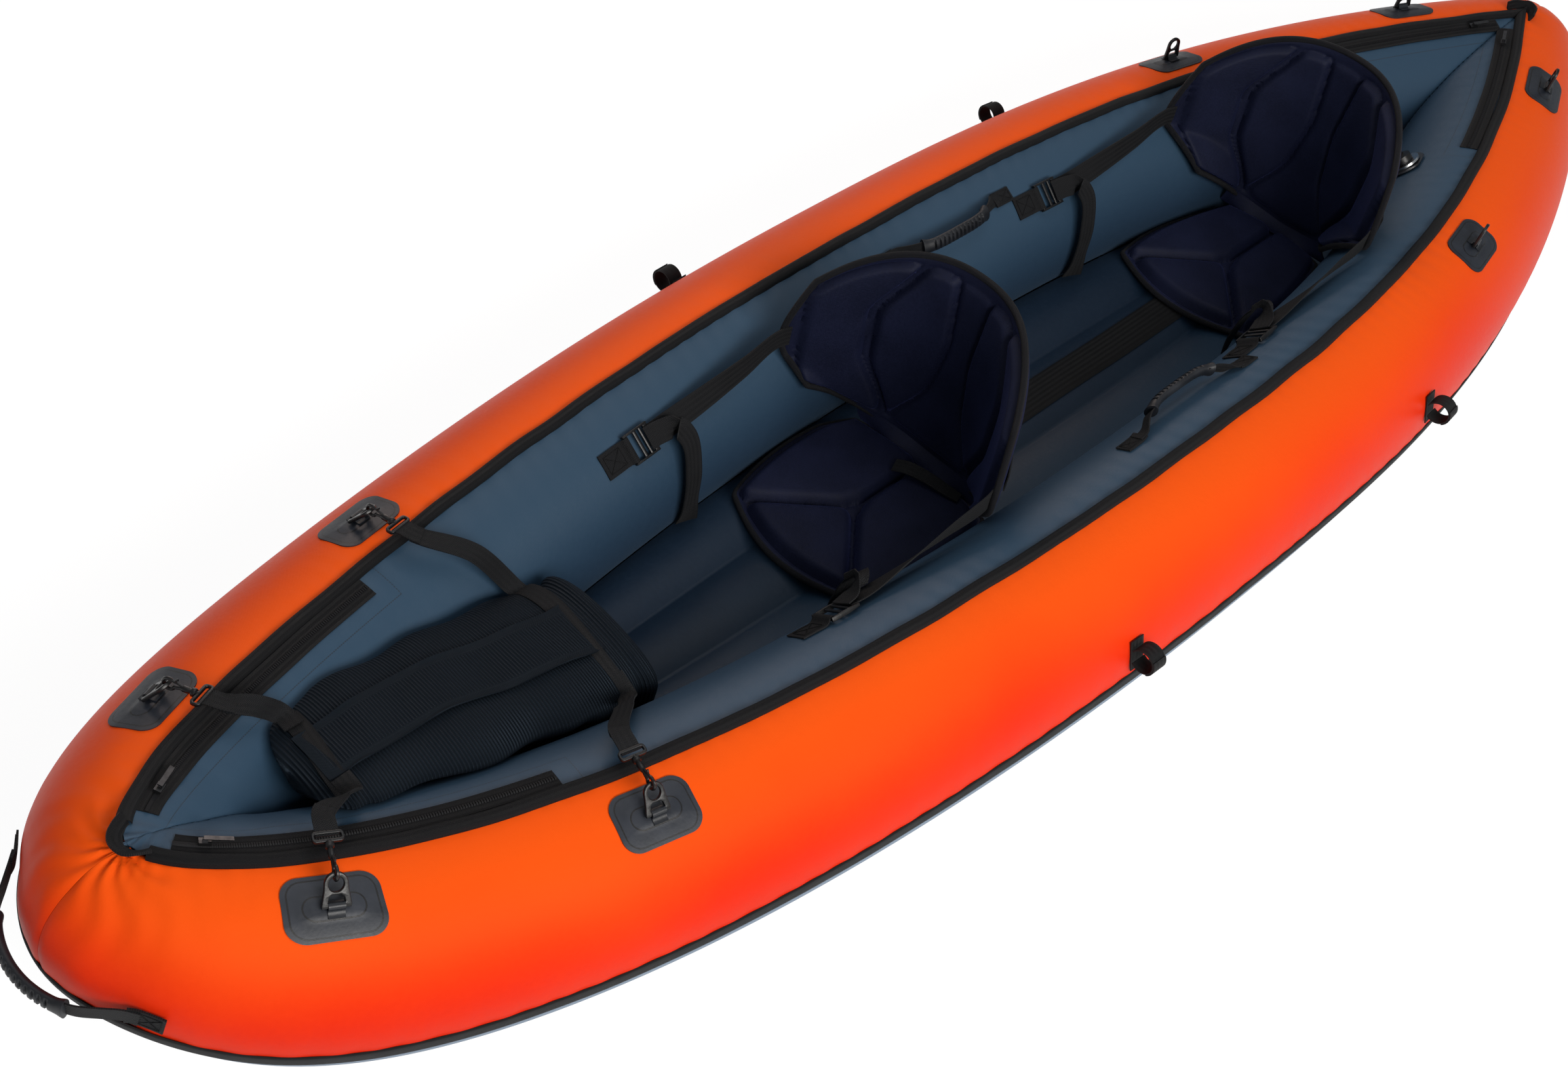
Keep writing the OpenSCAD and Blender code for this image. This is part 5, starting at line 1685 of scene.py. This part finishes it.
def end_handle(label, x_tab, x_mid, r_tip, way):
    pin = place(x_tab, TIP_DEG, PIN_OFF, [0, 0, 0])
    r = r_tip + GRIP_OFF
    spread = GRIP_L / r / 2

    def spot(a, radius):
        return xyz(x_mid + way * radius * np.cos(a), radius * np.sin(a), pin[2])

    a = np.linspace(-spread, spread, 13)
    outs = xyz(way * np.cos(a), np.sin(a), 0.0)
    done(grip(f"{label}_grip_sleeve", spot(a, r), outs), GRIP, f"{label}_grip", [f"{label}_handle"])
    outer = spot(spread + 0.010 / r, r - 0.001)
    foot = place(x_tab, TIP_DEG, TIP_LAY, [-way * 0.016, 0, 0.0042])
    line = [spot(spread - 0.012 / r, r), outer, mix(outer, pin, 0.55), pin, foot]
    inboard = axes_on(x_tab, TIP_DEG)[1]
    up = np.array([0, 0, 1.0])
    for name, side in SIDES:
        ways = [up, up, up, mix(up, inboard, 0.3), inboard]
        handle_leg(f"{label}_handle_leg_{name}", line, ways, side)


def handles():
    tabs = []
    for name, side in SIDES:
        for way in (1, -1):
            tabs.append(handle_tab(HANDLE_X + way * HANDLE_L / 2, HANDLE_DEG, side, way, FLAT_LAY))
        for _, x_tab, _, _, way in ENDS:
            tabs.append(handle_tab(x_tab, TIP_DEG, side, -way, TIP_LAY))
        side_handle(name, side)
    done(join("handle_tab_cloth", tabs), WEBBING, stands_for=["handle_tabs"])
    for end in ENDS:
        end_handle(*end)


# Floor filler tail, keepers

TAIL_X = -0.985
TAIL_DEG = 140
TAIL_HALF = 0.035
TAIL_RUN = (192, 184, 172, 160, 150, 140, 130, 129)
TAIL_L = 0.16
TAIL_T = 0.0022
TAIL_ROUND = 0.034
KEEPER_X = (0.257, -0.496)
KEEPER_DEG = 18
KEEPER_R = 0.0180
KEEPER_RISE = 0.0194
KEEPER_W = 0.026
KEEPER_T = 0.0018
LAP_T = 0.0016


def filler_tail():
    """Flat tail of the floor chamber up the port wall, round at the top and crumpled off the valve."""
    along, _, out = axes_on(TAIL_X, TAIL_DEG)

    def shape(u, v):
        deg = np.interp(u, np.linspace(0, 1, len(TAIL_RUN)), TAIL_RUN)
        w = (2 * v - 1) * TAIL_HALF
        up = np.radians(TAIL_DEG - deg) * TUBE_R
        narrow = np.where(up > 0, np.sqrt(np.maximum(0.02, 1 - (up / TAIL_ROUND) ** 2)), 1.0)
        rough = 0.0022 * ripple(deg * 0.004, w, 57, low=60, high=190)
        crumple = rough * ease((np.hypot(w, up) - 0.028) / 0.02)
        base = on_tube(stations(np.full_like(u, TAIL_X)), deg, 0.0045)
        return base + along * (w * narrow)[:, None] + out * crumple[:, None]

    o = grid("filler_tail_sheet", 60, 30, shape, (TAIL_L, 2 * TAIL_HALF))
    thicken(o, TAIL_T, 0)
    done(shade(o, 60), VINYL, stands_for=["floor_inlet"])


def keeper(x, side):
    """A round of hook-and-loop tape with its foot and its lapped end."""
    loop = flat_strap("keeper", arc(KEEPER_R, KEEPER_RISE, -78, 258, 34)[2:-2], KEEPER_W, KEEPER_T, 0.003)
    foot = flat_strap("foot", [(-0.024, 0.0014), (0, 0.0012), (0.024, 0.0014)], KEEPER_W, KEEPER_T, 0.004)
    lap = flat_strap("flap", arc(KEEPER_R + 0.0019, KEEPER_RISE, 20, 110, 14), KEEPER_W, LAP_T, 0.003)
    return set_down(join("keeper", [loop, foot, lap]), stand_on(x, KEEPER_DEG, LAY, side))


def keepers():
    loops = [keeper(x, side) for x in KEEPER_X for _, side in SIDES]
    done(join("keeper_loops", loops), FUZZ, stands_for=["paddle_keepers"])


# Stage


def lamp(name, where, aim, size, power, color):
    data = bpy.data.lights.new(name, "AREA")
    data.shape = "RECTANGLE"
    data.size, data.size_y = size
    data.energy = power
    data.color = color
    o = bpy.data.objects.new(name, data)
    o.location = where
    o.rotation_euler = (Vector(aim) - Vector(where)).to_track_quat("-Z", "Y").to_euler()
    bpy.context.scene.collection.objects.link(o)


def stage():
    """White ground that glows a little where it is seen, soft air and three softboxes."""
    start()
    bpy.ops.mesh.primitive_plane_add(size=40, location=(0, 0, -0.0008))
    floor = bpy.context.object
    floor.name = "studio_floor"
    f = Finish("studio_white", Base_Color=rgb(0.50, 0.50, 0.50), Roughness=0.9, Specular_IOR_Level=0.1)
    glow = f.node("Emission", None, {"Color": rgb(1, 1, 1), "Strength": 1.40})
    rays = f.node("LightPath").socket.node.outputs
    direct, glossy, clear = (Val(f, rays[f"Is {kind} Ray"]) for kind in ("Camera", "Glossy", "Transmission"))
    seen = direct.high(glossy).high(clear)
    shader = f.node("MixShader", None, {0: seen * 0.64, 1: Val(f, f.shader.outputs[0]), 2: glow})
    f.tree.links.new(shader.socket, f.tree.nodes["Material Output"].inputs["Surface"])
    floor.data.materials.append(f.mat)
    world = bpy.data.worlds.new("studio_air")
    bpy.context.scene.world = world
    world.use_nodes = True
    back = world.node_tree.nodes["Background"]
    back.inputs[0].default_value = rgb(0.94, 0.97, 1.0)
    back.inputs[1].default_value = 0.26
    lamp("key_softbox", (1.2, 3.4, 2.6), (0.1, 0.2, 0.15), (3.4, 1.4), 172, (1.0, 0.97, 0.93))
    lamp("top_softbox", (0.0, -0.4, 3.6), (0, 0, 0.2), (3.2, 1.6), 22, (1.0, 1.0, 1.0))
    lamp("far_softbox", (-1.6, -3.2, 2.2), (0, 0, 0.2), (2.6, 1.2), 34, (1.0, 0.80, 0.70))


# Camera, fitted to the photograph of 2312 by 1596 pixels

PHOTO_W, PHOTO_H = 2312, 1596
CAM_AT = (2.00848, 1.09391, 2.20274)
CAM_YAW, CAM_PITCH, CAM_ROLL = 222.05, -45.69, 7.96
CAM_F, CAM_PX, CAM_PY = 2882.43, 945.53, 673.32
SENSOR_W = 36


def camera():
    yaw, pitch, roll = (math.radians(a) for a in (CAM_YAW, CAM_PITCH, CAM_ROLL))
    look = Vector((math.cos(pitch) * math.cos(yaw), math.cos(pitch) * math.sin(yaw), math.sin(pitch)))
    right = look.cross(Vector((0, 0, 1))).normalized()
    up = right.cross(look)
    right, up = math.cos(roll) * right + math.sin(roll) * up, -math.sin(roll) * right + math.cos(roll) * up
    data = bpy.data.cameras.new("photo_camera")
    data.sensor_fit = "HORIZONTAL"
    data.sensor_width = SENSOR_W
    data.lens = SENSOR_W * CAM_F / PHOTO_W
    data.shift_x = (PHOTO_W / 2 - CAM_PX) / PHOTO_W
    data.shift_y = (CAM_PY - PHOTO_H / 2) / PHOTO_W
    data.clip_end = 60
    o = bpy.data.objects.new("photo_camera", data)
    o.matrix_world = columns(right, up, -look, CAM_AT)
    bpy.context.scene.collection.objects.link(o)
    bpy.context.scene.camera = o


camera()
stage()
for name, side in SIDES:
    cover(name, side)
    lining(name, side)
bottom()
trim()
tips()
floor_lining()
floor_strip()
zips()
for label, x0 in SEATS:
    seat_base(label, x0)
    seat_back(label, x0)
    seat_hinge(label, x0)
    for name, side in SIDES:
        seat_strap(label, x0, name, side)
        buckle(label, x0, name, side)
loose_end(SEAT_X)
strap_tabs = [strap_tab(x0, side) for _, x0 in SEATS for _, side in SIDES]
done(join("strap_tabs", strap_tabs), WEBBING, stands_for=["buckle_tabs"])
fittings()
shell = bag()
bag_flap(shell)
bag_bands(shell)
bag_straps(shell)
handles()
filler_tail()
keepers()
for finish, names in (
    (VINYL, ["port_bladder", "starboard_bladder", "floor_bladder"]),
    (PLASTIC, ["tube_valves", "floor_valve_cap"]),
    (CHROME, ["floor_valve"]),
    (ZINC, [f"{end}_{name}_slider" for end in ("bow", "stern") for name, _ in SIDES]),
):
    for name in names:
        paint(nodes[name], finish)

bpy.context.scene.view_settings.view_transform = "Standard"
start()
